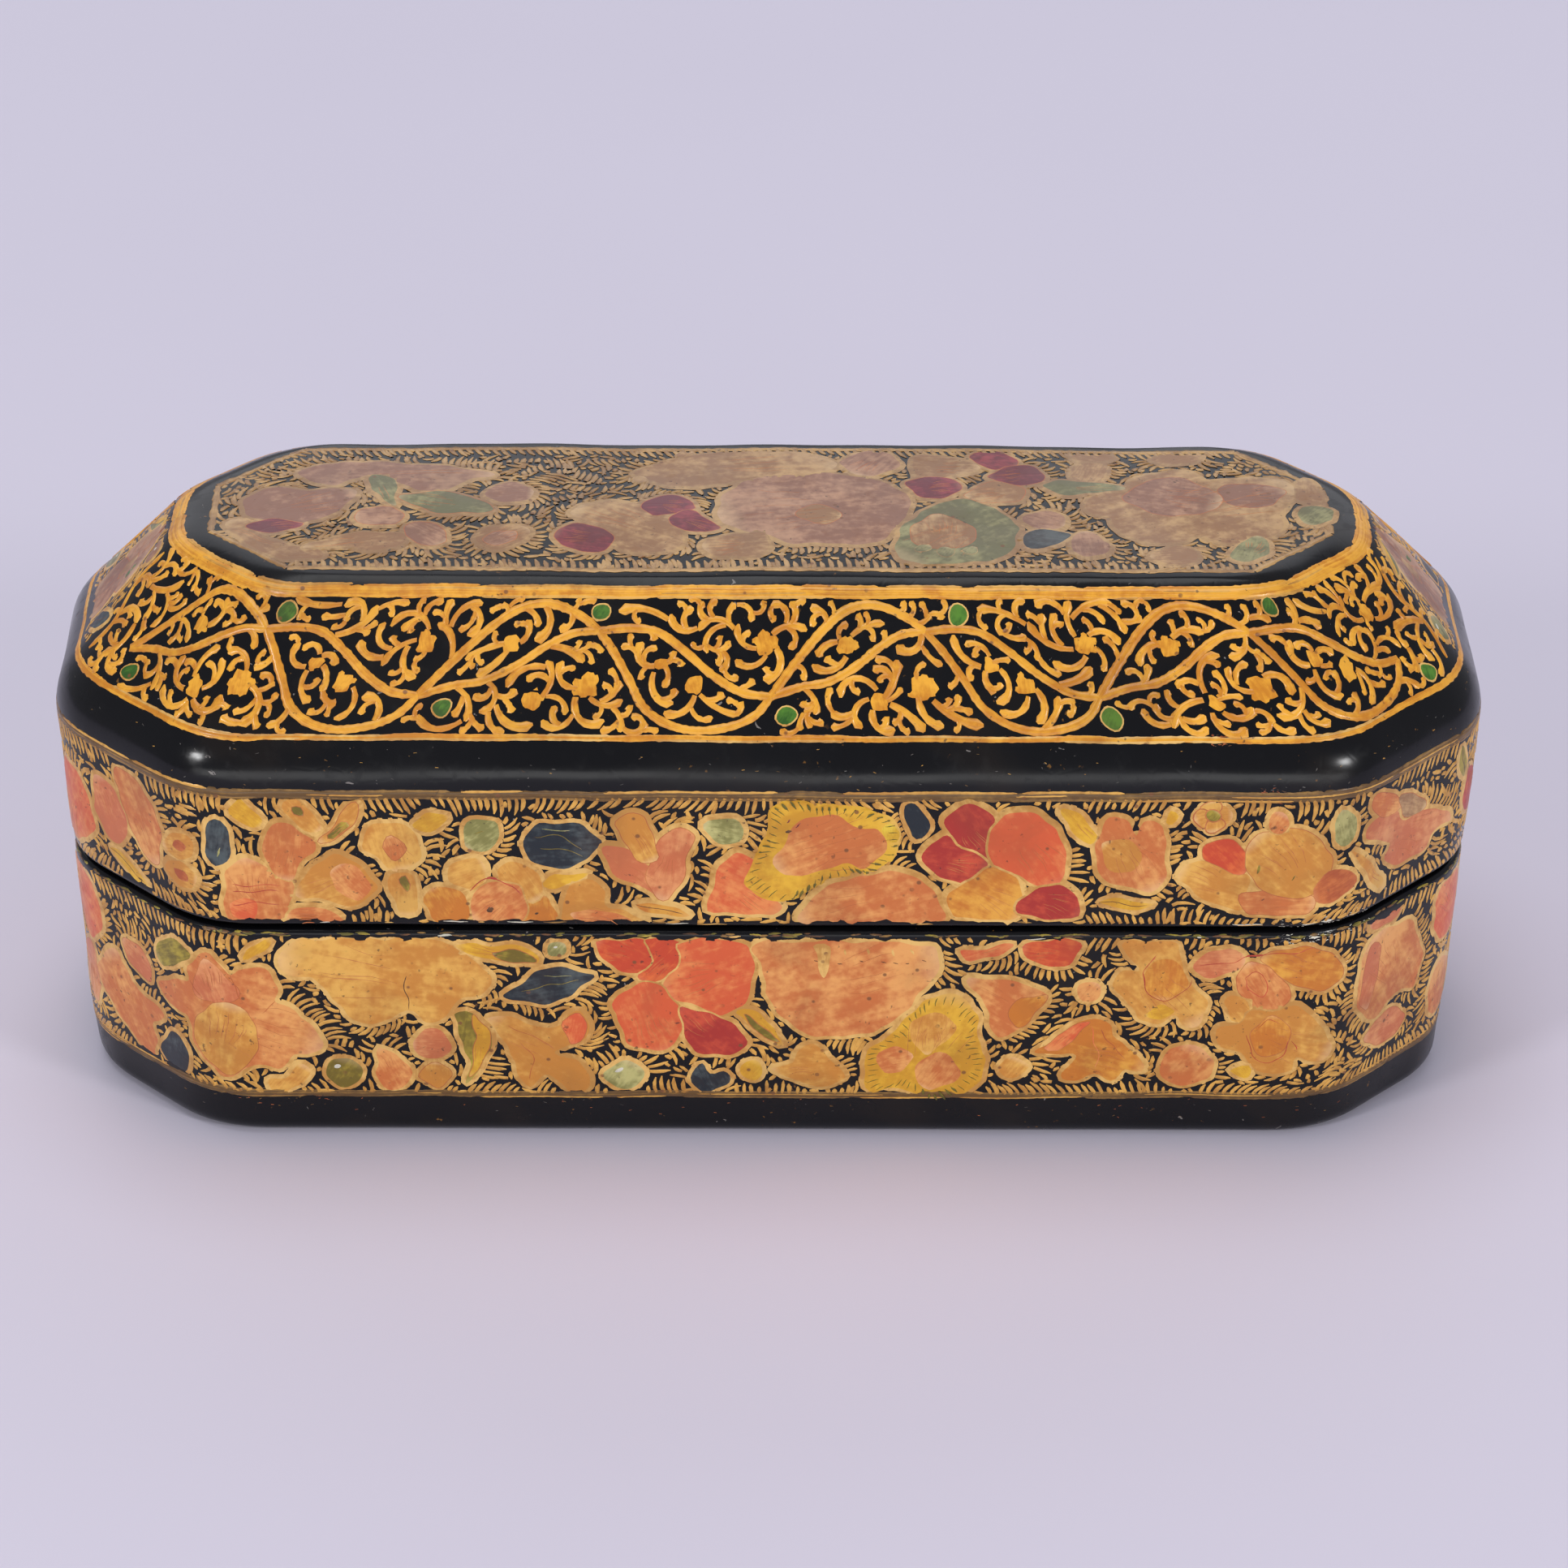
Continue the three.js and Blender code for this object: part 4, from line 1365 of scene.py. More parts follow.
# The flowers of the lid's skirt
def lid_bouquet(on):
    on.flower(("coral", (-56.2, 5), (-54, 8), (-51, 7), (-50.4, 3.8), (-52.2, 2.1), (-55.2, 1.4)))
    on.flower(
        ("rose", (-49.6, 8.6), (-47.9, 8.4), (-46.6, 6.4), (-47.1, 4.2), (-48.6, 3.7), (-49.9, 5.6)),
        ("salmon", (-47.4, 10), (-45.4, 10.2), (-43.6, 8.6), (-43.1, 6.1), (-43.9, 3.6), (-45.7, 4.7),
            (-46.6, 7)),
    )
    on.flower(
        ("ochre", (-42.9, 6), (-41.4, 7.4), (-40.1, 7), (-40.2, 5.7), (-41.5, 5)),
        ("russet", (-41.9, 6.1), (-41.2, 6.7), (-40.7, 6.3), (-41.3, 5.7)),
    )
    on.flower(
        ("ochre", (-42.8, 3.9), (-41.4, 4.9), (-40.1, 4.1), (-40.4, 3), (-41.9, 2.9)),
        ("russet", (-41.8, 4), (-41, 4.2), (-40.8, 3.6), (-41.6, 3.4)),
    )
    on.leaf((-49, 3), (-45, 1.2), 1.2, "straw")
    on.flower(
        ("indigo", (-38.9, 8.2), (-38, 9.1), (-37.3, 8.6), (-37.2, 7.2), (-37.6, 5.8), (-38.4, 5.2),
            (-38.9, 5.9), (-39.1, 7.1)),
        lines=[(0.25, "pearl", (-38.2, 6.2), (-38, 6.9))],
    )
    stripes = [(0.13, "crimson", (-37.4, t), (-35.8, t + 0.1), (-34.1, t)) for t in (3.3, 3.8, 2.3)]
    on.flower(
        ("salmon", (-37.7, 4.5), (-36.6, 5.9), (-35.4, 5.8), (-34.2, 4.8), (-33.1, 3.8), (-33.5, 2.3),
            (-34.1, 0.9), (-37.4, 0.8), (-38, 2.1)),
        ("coral", (-37.6, 2.4), (-36.6, 2.8), (-35.8, 2.2), (-36, 1.1), (-37.3, 1.1)),
        lines=stripes,
        rim=False,
    )
    on.flower(("salmon", (-34.9, 7.4), (-34.5, 8.5), (-33.2, 9), (-32, 8.2), (-31.3, 7), (-32.4, 5.7),
        (-33.2, 4.3), (-33.9, 4.4), (-34.7, 5.5)))
    on.flower(
        ("ochre", (-33, 3.2), (-32.1, 4.9), (-30.9, 6.2), (-29.8, 6.6), (-28.6, 5.8), (-27.4, 4),
            (-28.1, 2.8), (-29.2, 2.2), (-31.1, 2.7)),
        ("salmon", (-30.4, 5.4), (-29, 5.6), (-27.8, 4), (-28.6, 2.8), (-30, 3.4)),
        rim=False,
    )
    on.plain(
        ("salmon", (-33.7, 0.8), (-33, 2.1), (-31.4, 1.9), (-29.9, 1.3), (-30.2, 0.3)),
        ("straw", (-37.2, 9.9), (-36.4, 10.8), (-35.6, 10.2), (-34.9, 9.1), (-35.5, 8.7), (-36.7, 9.2)),
    )
    on.flower(
        ("ochre", (-33.4, 10.6), (-32.4, 10.8), (-30.8, 8.9), (-31.3, 8.2), (-32.2, 8.7), (-33.2, 9.8)),
        ("ochre", (-31.1, 7.4), (-30.2, 8.5), (-29.4, 9.8), (-28.3, 10.6), (-28.3, 9.6), (-29.3, 8.3),
            (-30.4, 7.4)),
        ("olive", (-32.7, 10.1), (-32.2, 10.2), (-32.1, 9.6), (-32.6, 9.6)),
        ("olive", (-30.4, 8), (-29.6, 9), (-29, 8.8), (-30, 7.8)),
    )
    on.flower(
        ("ochre", (-28, 6.8), (-28.1, 8.1), (-27.2, 9), (-25.9, 9), (-24.7, 8.5), (-24, 7), (-24.5, 5.8),
            (-25.8, 5.1), (-26.9, 6)),
        ("salmon", (-26.8, 7), (-26, 7.9), (-25.1, 7.1), (-25.9, 6.1)),
    )
    on.flower(
        ("ochre", (-26.6, 4.3), (-25.8, 5), (-24.7, 4.7), (-24.5, 3.4), (-24.7, 1.9), (-25.6, 1.6),
            (-26.3, 2.8)),
        ("olive", (-25.6, 4.3), (-25.2, 4.7), (-24.9, 4), (-25.3, 3.3)),
    )
    on.flower(("straw", (-24.6, 8.8), (-23.6, 9.8), (-22.1, 9.8), (-22.6, 8.9), (-23.8, 8.4)))
    on.flower(
        ("pearl", (-21.1, 8.4), (-20.4, 9.2), (-19.1, 9.3), (-18.6, 8.3), (-19, 7.1), (-20.1, 6.7),
            (-21.1, 7.2)),
        lines=[(0.2, "olive", (-20.3, 8.2), (-19.6, 8.4))],
    )
    on.flower(
        ("indigo", (-17, 7.5), (-16.5, 8.6), (-15.4, 9.1), (-13.6, 9), (-12.4, 8.3), (-11.6, 7.4),
            (-12.4, 6.4), (-13.9, 5.5), (-15.5, 5.4), (-16.6, 6.2)),
        lines=[
            (0.12, "olive", (-16.2, 8), (-14.6, 8), (-13, 7)),
            (0.12, "olive", (-16, 7), (-14.4, 6.8), (-13, 6.4)),
            (0.12, "pearl", (-15.6, 8.6), (-13.8, 8.4)),
        ],
    )
    on.flower(
        ("amber", (-24.1, 2.6), (-23.3, 3.8), (-22, 3.6), (-21.1, 2.8), (-20.9, 1.5), (-21.6, 0.8),
            (-23.4, 0.8)),
        ("amber", (-17, 2.8), (-15.9, 3.2), (-15.1, 2.1), (-14.8, 0.9), (-16.4, 0.4), (-17.4, 1.1)),
        ("ochre", (-22.5, 4.9), (-21.7, 6), (-20.5, 6.1), (-19.7, 5.4), (-19.9, 4.2), (-20.8, 3.5),
            (-22, 4)),
        ("ochre", (-19, 5.1), (-18.2, 5.9), (-16.9, 5.7), (-16, 4.6), (-15.9, 3.3), (-16.5, 2.7),
            (-17.7, 3.4)),
        ("salmon", (-20.8, 2.8), (-20, 4), (-18.8, 4.3), (-17.5, 3.9), (-16.9, 2.6), (-17.3, 1.2),
            (-19.1, 0.6), (-20.5, 0.9)),
        lines=[
            (0.2, "crimson", (-21, 3.4), (-20, 4.4), (-18.9, 4.5), (-18.1, 4), (-17.2, 3.2)),
            (0.7, "umber", (-19.7, 1.7), (-19.3, 1.9)),
            (0.3, "umber", (-16.3, 1.6), (-16, 1.7)),
        ],
        crease=0.14,
        between="outline",
    )
    on.flower(("straw", (-15.8, 4.2), (-14.8, 4.9), (-12.7, 4.8), (-14.1, 4), (-15.4, 3.8)))
    on.flower(
        ("ochre", (-14.5, 1.7), (-14.1, 3.5), (-13.4, 4.2), (-12.3, 4.3), (-11.5, 3.5), (-11.2, 2.1),
            (-9.8, 1.7), (-8.5, 0.9), (-11.3, 0.5), (-14.1, 0.7)),
        ("salmon", (-14, 1.6), (-12.6, 2), (-10.8, 1.6), (-9.6, 1), (-12, 0.7)),
        rim=False,
    )
    on.leaf((-9.4, 2.4), (-5.6, 1.5), 0.9, "amber")
    on.flower(
        ("rose", (-11.5, 7.1), (-10.5, 7.1), (-9.4, 6.5), (-8.3, 5.2), (-7.6, 3.2), (-9.4, 4), (-10.9, 5)),
        ("rose", (-8, 6.6), (-7.2, 8.4), (-6.3, 8.7), (-5.4, 8), (-5.6, 6.7), (-6.7, 3.2), (-8, 3.2),
            (-8.5, 5)),
        ("ochre", (-10.6, 9), (-9.7, 9.9), (-8.8, 9.5), (-8.1, 8.2), (-7.8, 6.4), (-8.7, 5.8), (-9.9, 7)),
    )
    on.flower(("pearl", (-4.6, 8.6), (-3.8, 9.3), (-2.6, 9.5), (-1.8, 8.6), (-2.1, 7.6), (-3.3, 7.4)))
    rim = ((0.3, 10.5), (1.2, 11), (3, 10.9), (5.3, 10.6), (7.3, 10.2), (8.8, 9.1), (9, 7.4), (8.3, 6.1),
        (7.2, 5), (5.4, 4.8), (3.6, 3.9), (1.3, 2.8), (-0.7, 3.2), (-1.7, 4.4), (-1.4, 5.9), (-0.6, 7.3),
        (-0.3, 9))
    on.flower(
        ("coral", (-4.3, 2.6), (-3.7, 4.8), (-2.6, 6.5), (-1, 6.1), (-1.2, 4.4), (1, 2.2), (-1.3, 1.7),
            (-3.9, 1.9)),
        ("straw", *rim),
        ("salmon", (0.3, 6.2), (1.1, 8), (2.1, 9.5), (3.9, 9.9), (5.7, 9.1), (7.5, 8.6), (7.9, 7.2),
            (6.7, 5.6), (4.9, 5.8), (3.1, 5.2), (0.9, 4.9)),
        ("yellow", (7.8, 8.6), (8.3, 9.2), (8.9, 8.6), (8.7, 7.7), (8, 7.8)),
        lines=on.hatch(rim, (3.6, 7.2)) + [
            (0.4, "umber", (1.1, 8.5), (1.6, 8.7)),
            (0.25, "wine", (1.9, 9), (2.2, 9.3)),
            (0.25, "wine", (1.2, 9.3), (1.4, 9.6)),
        ],
        rim=False,
    )
    on.plain(
        ("indigo", (9, 10.1), (9.6, 10.8), (10.5, 10.2), (10.9, 8.8), (10.5, 7.8), (9.8, 8.2)),
        ("salmon", (2, 1.1), (2.9, 2.9), (4.9, 4.4), (7.2, 5.1), (9.5, 5), (11, 4), (12.3, 1.7),
            (11.1, 1.1), (7.3, 0.8), (4, 1)),
    )
    on.flower(
        ("crimson", (12, 9.1), (12.8, 10.5), (14.2, 10.6), (15.3, 9.7), (15, 8.2), (15, 6.2), (13.8, 6.9),
            (12.6, 7.8)),
        ("crimson", (10.5, 6.4), (11.3, 7.6), (12, 8.2), (13.1, 7.2), (14.9, 5.9), (14, 4.2), (12.4, 4.5),
            (11.3, 5.2)),
        ("coral", (15.1, 8), (15.5, 9.3), (16.5, 10), (18.1, 10), (19.5, 8.9), (20.3, 7), (20.2, 4.3),
            (18.6, 4.1), (16.7, 5.1), (15.3, 5.9)),
        ("amber", (12.4, 3.4), (13.9, 4.5), (15.3, 5.7), (17.1, 4.5), (17.6, 2.9), (17.3, 1.5), (14.7, 1.3),
            (13, 1.5)),
        ("crimson", (17.3, 2.8), (18.6, 4), (20.2, 4.1), (21.4, 3.1), (21.6, 2), (21, 1.4), (18.7, 1.4),
            (17.4, 1.8)),
        crease=0.18,
        between="outline",
    )
    on.flower(("straw", (19.8, 10.4), (20.8, 10), (21.9, 8.9), (22.7, 7.4), (21.6, 7.8), (20.5, 8.9)))
    on.flower(
        ("salmon", (22.5, 7.5), (22.8, 9.1), (23.7, 9.8), (24.8, 9.2), (25.2, 8.2), (25.7, 9.2),
            (26.6, 9.2), (27.3, 7.9), (27.3, 6), (27.3, 4.2), (26.2, 3.6), (24.4, 4), (22.9, 4.8)),
        ("ochre", (22.9, 7.4), (24.3, 7.8), (25.5, 7), (25.2, 5.2), (23.6, 5.4)),
        rim=False,
    )
    on.leaf((23, 2.6), (26.6, 2.4), 0.8, "straw")
    on.flower(
        ("ochre", (28.2, 5.1), (29.6, 6.2), (31.3, 5.5), (33, 5.1), (33.3, 3.4), (32.8, 2.2), (31.2, 2.4),
            (29.3, 3.7)),
        ("vermilion", (29.8, 7.3), (30.8, 7.9), (32.3, 7.5), (32.9, 6.5), (32.8, 5.2), (31.3, 5.5),
            (30, 6.3)),
        ("salmon", (32.8, 3.2), (34.7, 3.8), (36.5, 3.4), (37.9, 2.9), (37.6, 1.9), (35.2, 1.6), (33.2, 2)),
        ("ochre", (32.8, 6.1), (33.3, 7.9), (34.3, 8.6), (36, 8.8), (37.6, 8.2), (38.8, 6.4), (38.8, 4.4),
            (37.6, 3.2), (35.8, 3.1), (33.8, 4.2)),
        ("russet", (37.8, 3.5), (38.8, 4.9), (40, 5), (41.1, 3.9), (40.6, 2.9), (39.1, 2.4), (38.1, 2.7)),
        lines=[(0.3, "olive", (33.6, 5), (33.9, 5.8)), (0.25, "olive", (36.2, 4.6), (36.5, 5))],
    )
    on.ball((35, 9.3), 0.8, "salmon", shine=False)
    on.rosette((30.4, 9.7), 1.2, "ochre", "olive", 4)
    on.plain(
        ("straw", (27, 9.4), (27.5, 10.2), (28, 9.8), (27.5, 9.2)),
        ("pearl", (38.8, 8.6), (39.1, 9.7), (39.9, 10), (40.7, 8.7), (40.4, 7.2), (39.6, 6.8)),
    )
    on.flower(
        ("rose", (41.7, 7), (42.1, 8.2), (44.3, 8.2), (45.9, 6.8), (47.8, 6.7), (50.1, 5.7), (51.2, 4.4),
            (49.4, 4.4), (48.7, 3.2), (47, 3.2), (45, 3.3), (44, 4.7), (44.3, 5.5)),
        ("salmon", (42.1, 10.4), (44.1, 9.6), (45, 8.1), (43.5, 8.1), (42.2, 9.1)),
        ("fawn", (44.9, 9.2), (47, 8.3), (47.9, 6.9), (46.1, 6.9), (44.9, 8.3)),
    )
    on.flower(("ochre", (40.8, 6.3), (42.3, 5), (44.1, 2.5), (43.9, 1.7), (42.7, 2.9)))
    on.leaf((51.4, 10.4), (52.4, 7.4), 1.2, "olive")
    on.flower(("crimson", (53, 7.6), (54.8, 7), (54.6, 4), (53, 4.6)))


# One bay of the lid's gold scrolls, 25 mm wide: two arcs rise to a knot and two fall from it
SCROLL_ARCS = (
    (0.72, (0, 2.3), (1.4, 4.1), (2.9, 5.8), (4.2, 7.1), (5.8, 8.3), (7.5, 8.8), (9.2, 8.6), (11, 7.8),
        (12.2, 6.9)),
    (0.66, (0, 2.3), (2.3, 3), (4.2, 3.3), (5.8, 4), (7.1, 4.8), (8.5, 5.8), (10.3, 6.7), (12.2, 6.9)),
    (0.66, (12.2, 6.9), (14.5, 7.1), (16.6, 6.8), (18.6, 5.5), (20.7, 3.8), (22.8, 2.6), (24.9, 2.3)),
    (0.66, (12.2, 6.9), (13.4, 5.5), (14.8, 3.4), (15.9, 1.6), (17.6, 0.4), (19.7, -0.1), (22.1, 0.2),
        (23.8, 1), (24.9, 2.3)),
)
# Each ball's place in the bay and its radius
SCROLL_BALLS = (
    (11.7, 3, 1.1), (5.9, 5.9, 0.85), (8.1, 1.9, 0.8), (19.4, 3.2, 0.85), (16.9, 4.6, 0.7), (24.6, 6, 0.9),
)
BAY, BAY_FOOT = 24.9, 16  # a bay's width as the arcs give it, and the height that they start from
BAY_ENDS = (-50.2, -25.3, 0, 23.6, 48.6)
GREEN_DOTS = (
    (-59.6, 21), (-48.8, 16.9), (-36.8, 24.1), (-23.4, 17.4), (-13, 24.2), (1.2, 17), (14.2, 24.1),
    (24.2, 16.8), (38.2, 24.6), (50.6, 16.6),
)


def in_bay(points, left, right):
    """Points of a bay, fitted between its two ends."""
    x, t = np.array(points, float).T
    return np.column_stack([left + x / BAY * (right - left), t + BAY_FOOT])


def front_scrolls(on, room):
    """Four bays of scrollwork along a side, with flowerlike balls and green dots."""
    vines = []
    for p, t in GREEN_DOTS:
        dot = lobed("emerald", (p, t), 0.66, 0.16)
        on.motif([dot])
        room.fill(grown(on.flat(dot.outline), 0.3))
    for left, right in zip(BAY_ENDS, BAY_ENDS[1:]):
        for x, t, radius in SCROLL_BALLS:
            middle = in_bay([(x, t)], left, right)[0]
            blob = lobed("scroll", middle, radius, 0, 6, 0.16, on.random.uniform(0, 1))
            on.motif([blob])
            room.fill(grown(on.flat(blob.outline), 0.35))
            centre = on.flat(blob.outline).mean(0)
            for angle in np.arange(0, 6.2, 1.25):
                spoke = np.array([math.cos(angle), math.sin(angle)])
                vines.append(centre + np.outer(np.linspace(0.2, 0.9, 3) * radius, spoke))
        for width, *points in SCROLL_ARCS:
            line = smooth(in_bay(points, left, right), step=0.25) + (on.shift, 0)
            on.stroke(on.gold, line, width, "scroll", 0.06, 0, (0.9, 0.8), 0.12)
            room.take(smooth(line, step=0.12))
            vines.append(line)
    return vines


# The flowers of the lid's top
def top_bouquet(on):
    on.flower(("fawn", (-38.4, -2.6), (-37, -1.9), (-35.6, -4.6), (-33.8, -5.9), (-31.6, -6.6), (-31.6, -8),
        (-34.6, -7.6), (-37, -5.2)))
    on.flower(
        ("dusk", (-37.3, -0.8), (-36.9, 1.9), (-35.2, 2.8), (-32.9, 2.3), (-29.6, 2.3), (-30.3, -0.4),
            (-31.6, -1.9), (-34.3, -3), (-35.5, -2.3)),
        ("wine", (-36.8, -3), (-35.5, -2.1), (-32.9, -2.6), (-34.2, -3.7), (-35.9, -4)),
    )
    on.flower(("dusk", (-33.8, 4.6), (-32.6, 6.1), (-29.7, 6.9), (-26.2, 6.5), (-23.4, 6.2), (-19.7, 4.7),
        (-21.7, 3.8), (-22.9, 2.3), (-25.1, 2.3), (-28.5, 4.6), (-31.2, 3)))
    on.flower(
        ("sage", (-28.7, 4.2), (-27.5, 4.6), (-26.7, 3.1), (-26.7, 0), (-27.7, 1.2)),
        ("sage", (-26.3, 1.2), (-24.2, 1.9), (-22.1, 1.6), (-19.6, -0.7), (-21.5, -1.4), (-24.1, -1)),
    )
    on.flower(
        ("fawn", (-32.7, -6.4), (-31.4, -5.2), (-29.4, -4.4), (-26, -4.3), (-25.8, -5.9), (-27.2, -6.7),
            (-30, -6.3)),
        ("dusk", (-29.5, -1.9), (-28.6, -0.7), (-27.1, -0.3), (-25.9, -1.9), (-26.6, -3), (-28.4, -3)),
        ("rose", (-25.8, -3.5), (-24.7, -2.5), (-23.3, -3.3), (-22.6, -5.1), (-23.5, -5.9), (-25.1, -5.6)),
    )
    on.flower(
        ("fawn", (-20.7, -5.1), (-19.9, -3.6), (-17.3, -3.2), (-17.1, -4.9), (-19.1, -6.6)),
        ("dusk", (-20.2, -5.1), (-19.5, -4.2), (-17.8, -3.9), (-18.1, -5.2), (-19.4, -5.9)),
    )
    on.flower(("rose", (-20.3, 1.8), (-19.4, 3.1), (-18.2, 3.2), (-16.9, 2.2), (-17.3, 0.7), (-19.2, 0.4)))
    on.flower(
        ("fawn", (-14.2, -1.4), (-12.8, 0.3), (-10.5, 0.6), (-9, -0.1), (-7.2, -2.6), (-6.1, -4.5),
            (-6.5, -6), (-8.2, -6.8), (-10.4, -6.7), (-11.1, -4.5)),
        ("wine", (-9.2, -0.1), (-8.1, 1.3), (-6.4, 1.4), (-5.3, -0.5), (-6.9, -1.2), (-8.4, -1.5)),
        ("wine", (-7.3, -2.1), (-5.8, -0.8), (-4.5, -2.2), (-3.6, -3.7), (-5.1, -4), (-6.3, -3.7)),
        ("wine", (-15.2, -4.7), (-14.2, -3.1), (-12.7, -3), (-11, -4.6), (-11.7, -6.5), (-13.4, -6.7)),
    )
    on.flower(
        ("dusk", (-3.7, -1.5), (-3.4, 1.1), (-2.1, 3.4), (0, 4.6), (2.5, 5), (5.3, 4.7), (7.8, 3.8),
            (9.5, 2), (9.9, -0.1), (8, -4.9), (6.5, -5.7), (1.7, -5.8), (0, -4.8), (-2.7, -3.4)),
        ("fawn", (1.9, -0.7), (3.5, 0.1), (5, -1.3), (3.9, -2.8), (2.2, -2.3)),
    )
    on.plain(
        ("fawn", (-4.6, -5.8), (-2.4, -4.5), (-0.4, -4.5), (-0.5, -7.1), (-2.1, -7.8), (-4.4, -7.1)),
        ("fawn", (-9.7, 5.2), (-7.3, 7.2), (-2.1, 8.9), (1.8, 8.5), (4.9, 6.7), (3.2, 5), (0, 4.6),
            (-3.5, 3.4), (-5.9, 2.9), (-8, 3.7)),
        ("dusk", (5.1, 6.5), (5.8, 8.1), (7.2, 8.8), (8.8, 8.1), (9.2, 6.4), (8, 4.9), (6, 4.8)),
    )
    on.flower(
        ("fawn", (10.6, 7.8), (13.8, 7.4), (14.9, 5.8), (12.4, 4.4), (10.5, 4)),
        ("wine", (14.4, 7.8), (15.9, 8.8), (17.4, 7.8), (17.8, 6.3), (15.8, 5.9)),
        ("wine", (15.6, 4.5), (16.9, 6), (18.6, 6.3), (19.7, 4.9), (18.9, 3.6), (17, 3.5)),
        ("fawn", (13.9, 1.5), (15.5, 3.6), (17.6, 3.3), (18.3, 2.2), (17.3, 0.8), (15.2, 0.7)),
        ("wine", (9.8, 3.8), (11.8, 4.4), (13.5, 3.5), (12.9, 1.7), (10.6, 1.4)),
    )
    on.flower(
        ("sage", (8.8, -5.5), (9.7, -2.4), (11.6, 0.1), (13.3, 0.9), (15.2, 0.4), (16.6, -1.4),
            (17.4, -3.7), (16.8, -6.4), (15.5, -8), (12.2, -8.5), (9.3, -8.1)),
        ("fawn", (9.9, -3.7), (11.6, -1.3), (13, -1.8), (14.3, -3.5), (14, -5.5), (12.3, -6.4),
            (10.2, -5.9)),
    )
    on.plain(
        ("rose", (17.9, -1.6), (19.1, -0.6), (20.4, -1.3), (20.8, -2.7), (19.4, -3.5), (18.3, -3.2)),
        ("indigo", (17.7, -5.7), (18.6, -3.6), (21.1, -4), (20.6, -5.1), (19.1, -6.4)),
        ("rose", (20.9, -5.6), (21.7, -4.1), (22.7, -4), (23.7, -5.6), (23.2, -7.1), (21.9, -7.4)),
    )
    on.flower(
        ("fawn", (22.4, -0.2), (23, 1.8), (25.2, 2.8), (26.1, 4.6), (28.1, 5.7), (30, 5.9), (31.6, 4.3),
            (35.9, 4.8), (37.4, 3.7), (37.3, 1.7), (36.1, -0.4), (36.2, -2.8), (34.7, -4.5), (32.6, -5.4),
            (30, -4.1), (28.9, -5), (26, -5), (24.4, -3.4), (24.1, -1.6)),
        ("dusk", (25.1, 1.4), (26.5, 3.7), (28.5, 4.9), (30.5, 3.7), (32.2, 1), (30.4, -0.8), (27.9, -1.1)),
        ("dusk", (31.9, 2.8), (34.1, 3.8), (36.6, 2.9), (35.5, 0.5), (33, 0.3)),
    )
    on.plain(
        ("fawn", (26.6, -7.3), (28, -5.9), (29.5, -6.2), (29.6, -7.9), (27.8, -8.4)),
        ("sage", (32.1, -7.3), (33, -5.3), (34.6, -4.3), (34.9, -6.3), (33.4, -7.8)),
        ("fawn", (37.4, 3.2), (38.4, 4.8), (39.2, 3.3), (39.1, 1.3), (37.7, 1.4)),
        ("sage", (37.2, -0.9), (38.5, 0.5), (39.9, 0), (39.7, -1.4), (38, -2.2)),
        ("fawn", (21.4, 5.7), (22.7, 7), (24.2, 6.5), (23.8, 4.9), (22.2, 4)),
        ("sage", (19.4, 3.1), (21.5, 4.1), (25.2, 3.2), (23.9, 2.4), (20.9, 1.9)),
        ("fawn", (21.6, 8.8), (23.8, 9.1), (24.7, 7.9), (22.5, 7.3)),
        ("fawn", (27.5, 7.8), (29, 9), (31.2, 8.9), (30.6, 7.6), (28.6, 7.2)),
    )
    for paint, *centres in (
        ("amber", (-6.2, 8.4), (-9.3, 4.1)),
        ("pearl", (10.6, -6.4), (12.1, -6.9), (14, -6.6)),
    ):
        for centre in centres:
            on.ball(centre, 0.6, paint, 0.2, False)


END_MIDDLE = ROUND / 4  # the middle of an end, measured round the box from the front's middle


def end_spray(on, middle, low, tall, first, second, third):
    """A flower with buds and leaves, for the narrow ends and the lid's end slopes."""
    c = (middle, low + tall * 0.5)
    on.blossom(
        c,
        [
            (middle - 5.2, c[1] + 2.4, 4.6, first),
            (middle + 0.6, c[1] + 5, 4.4, second),
            (middle + 5.2, c[1] + 1.4, 4.6, first),
            (middle + 2.6, c[1] - 4.4, 4.4, first),
            (middle - 3.4, c[1] - 3.8, 4.4, second),
        ],
        third,
        1.2,
    )
    on.ball((middle - 6.4, low + tall * 0.2), 1, "olive")
    on.ball((middle + 6.2, low + tall * 0.86), 0.9, "rose")
    on.leaf((middle - 6.8, low + tall * 0.72), (middle - 4, low + tall * 0.95), 1.4, "olive", "straw")
    on.leaf((middle + 4.4, low + tall * 0.08), (middle + 7.2, low + tall * 0.3), 1.5, "indigo")


def paint_base():
    on = Painting("base", base_wall, "base", low=5.1, high=19.0, seed=11)
    base_bouquet(on)
    on.copy_at(ROUND / 2, salmon="rose", rose="ochre", vermilion="salmon", crimson="vermilion")
    base_bouquet(on)
    on.copy_at(0)
    for middle in (-END_MIDDLE, END_MIDDLE):
        end_spray(on, middle, 5, 14, "salmon", "rose", "ochre")
    room = Room(on.left, on.wide, on.low - 0.1, on.high, True)
    on.fill_ground(room, 9000)
    on.border(4.85, 0.7, 3)
    on.edge_wear_and_painted_highlights(19.25, 420, (0.2, 1.1), ("olive", "moss", "border", "umber"))
    # Painted highlights: short white and cream glints along the base's top edge.
    on.edge_wear_and_painted_highlights(19.1, 22, (0.3, 1.4), ("outline", "white"))
    on.flecks((-45, 45), (2.6, 4.4), 60, ("border", "chip", "russet"))
    on.flecks((-40, -31), (3.6, 5.6), 46, ("russet", "border"))
    on.flecks((35.5, 43), (18.6, 19.4), 70, ("chip", "white"))
    on.finish()


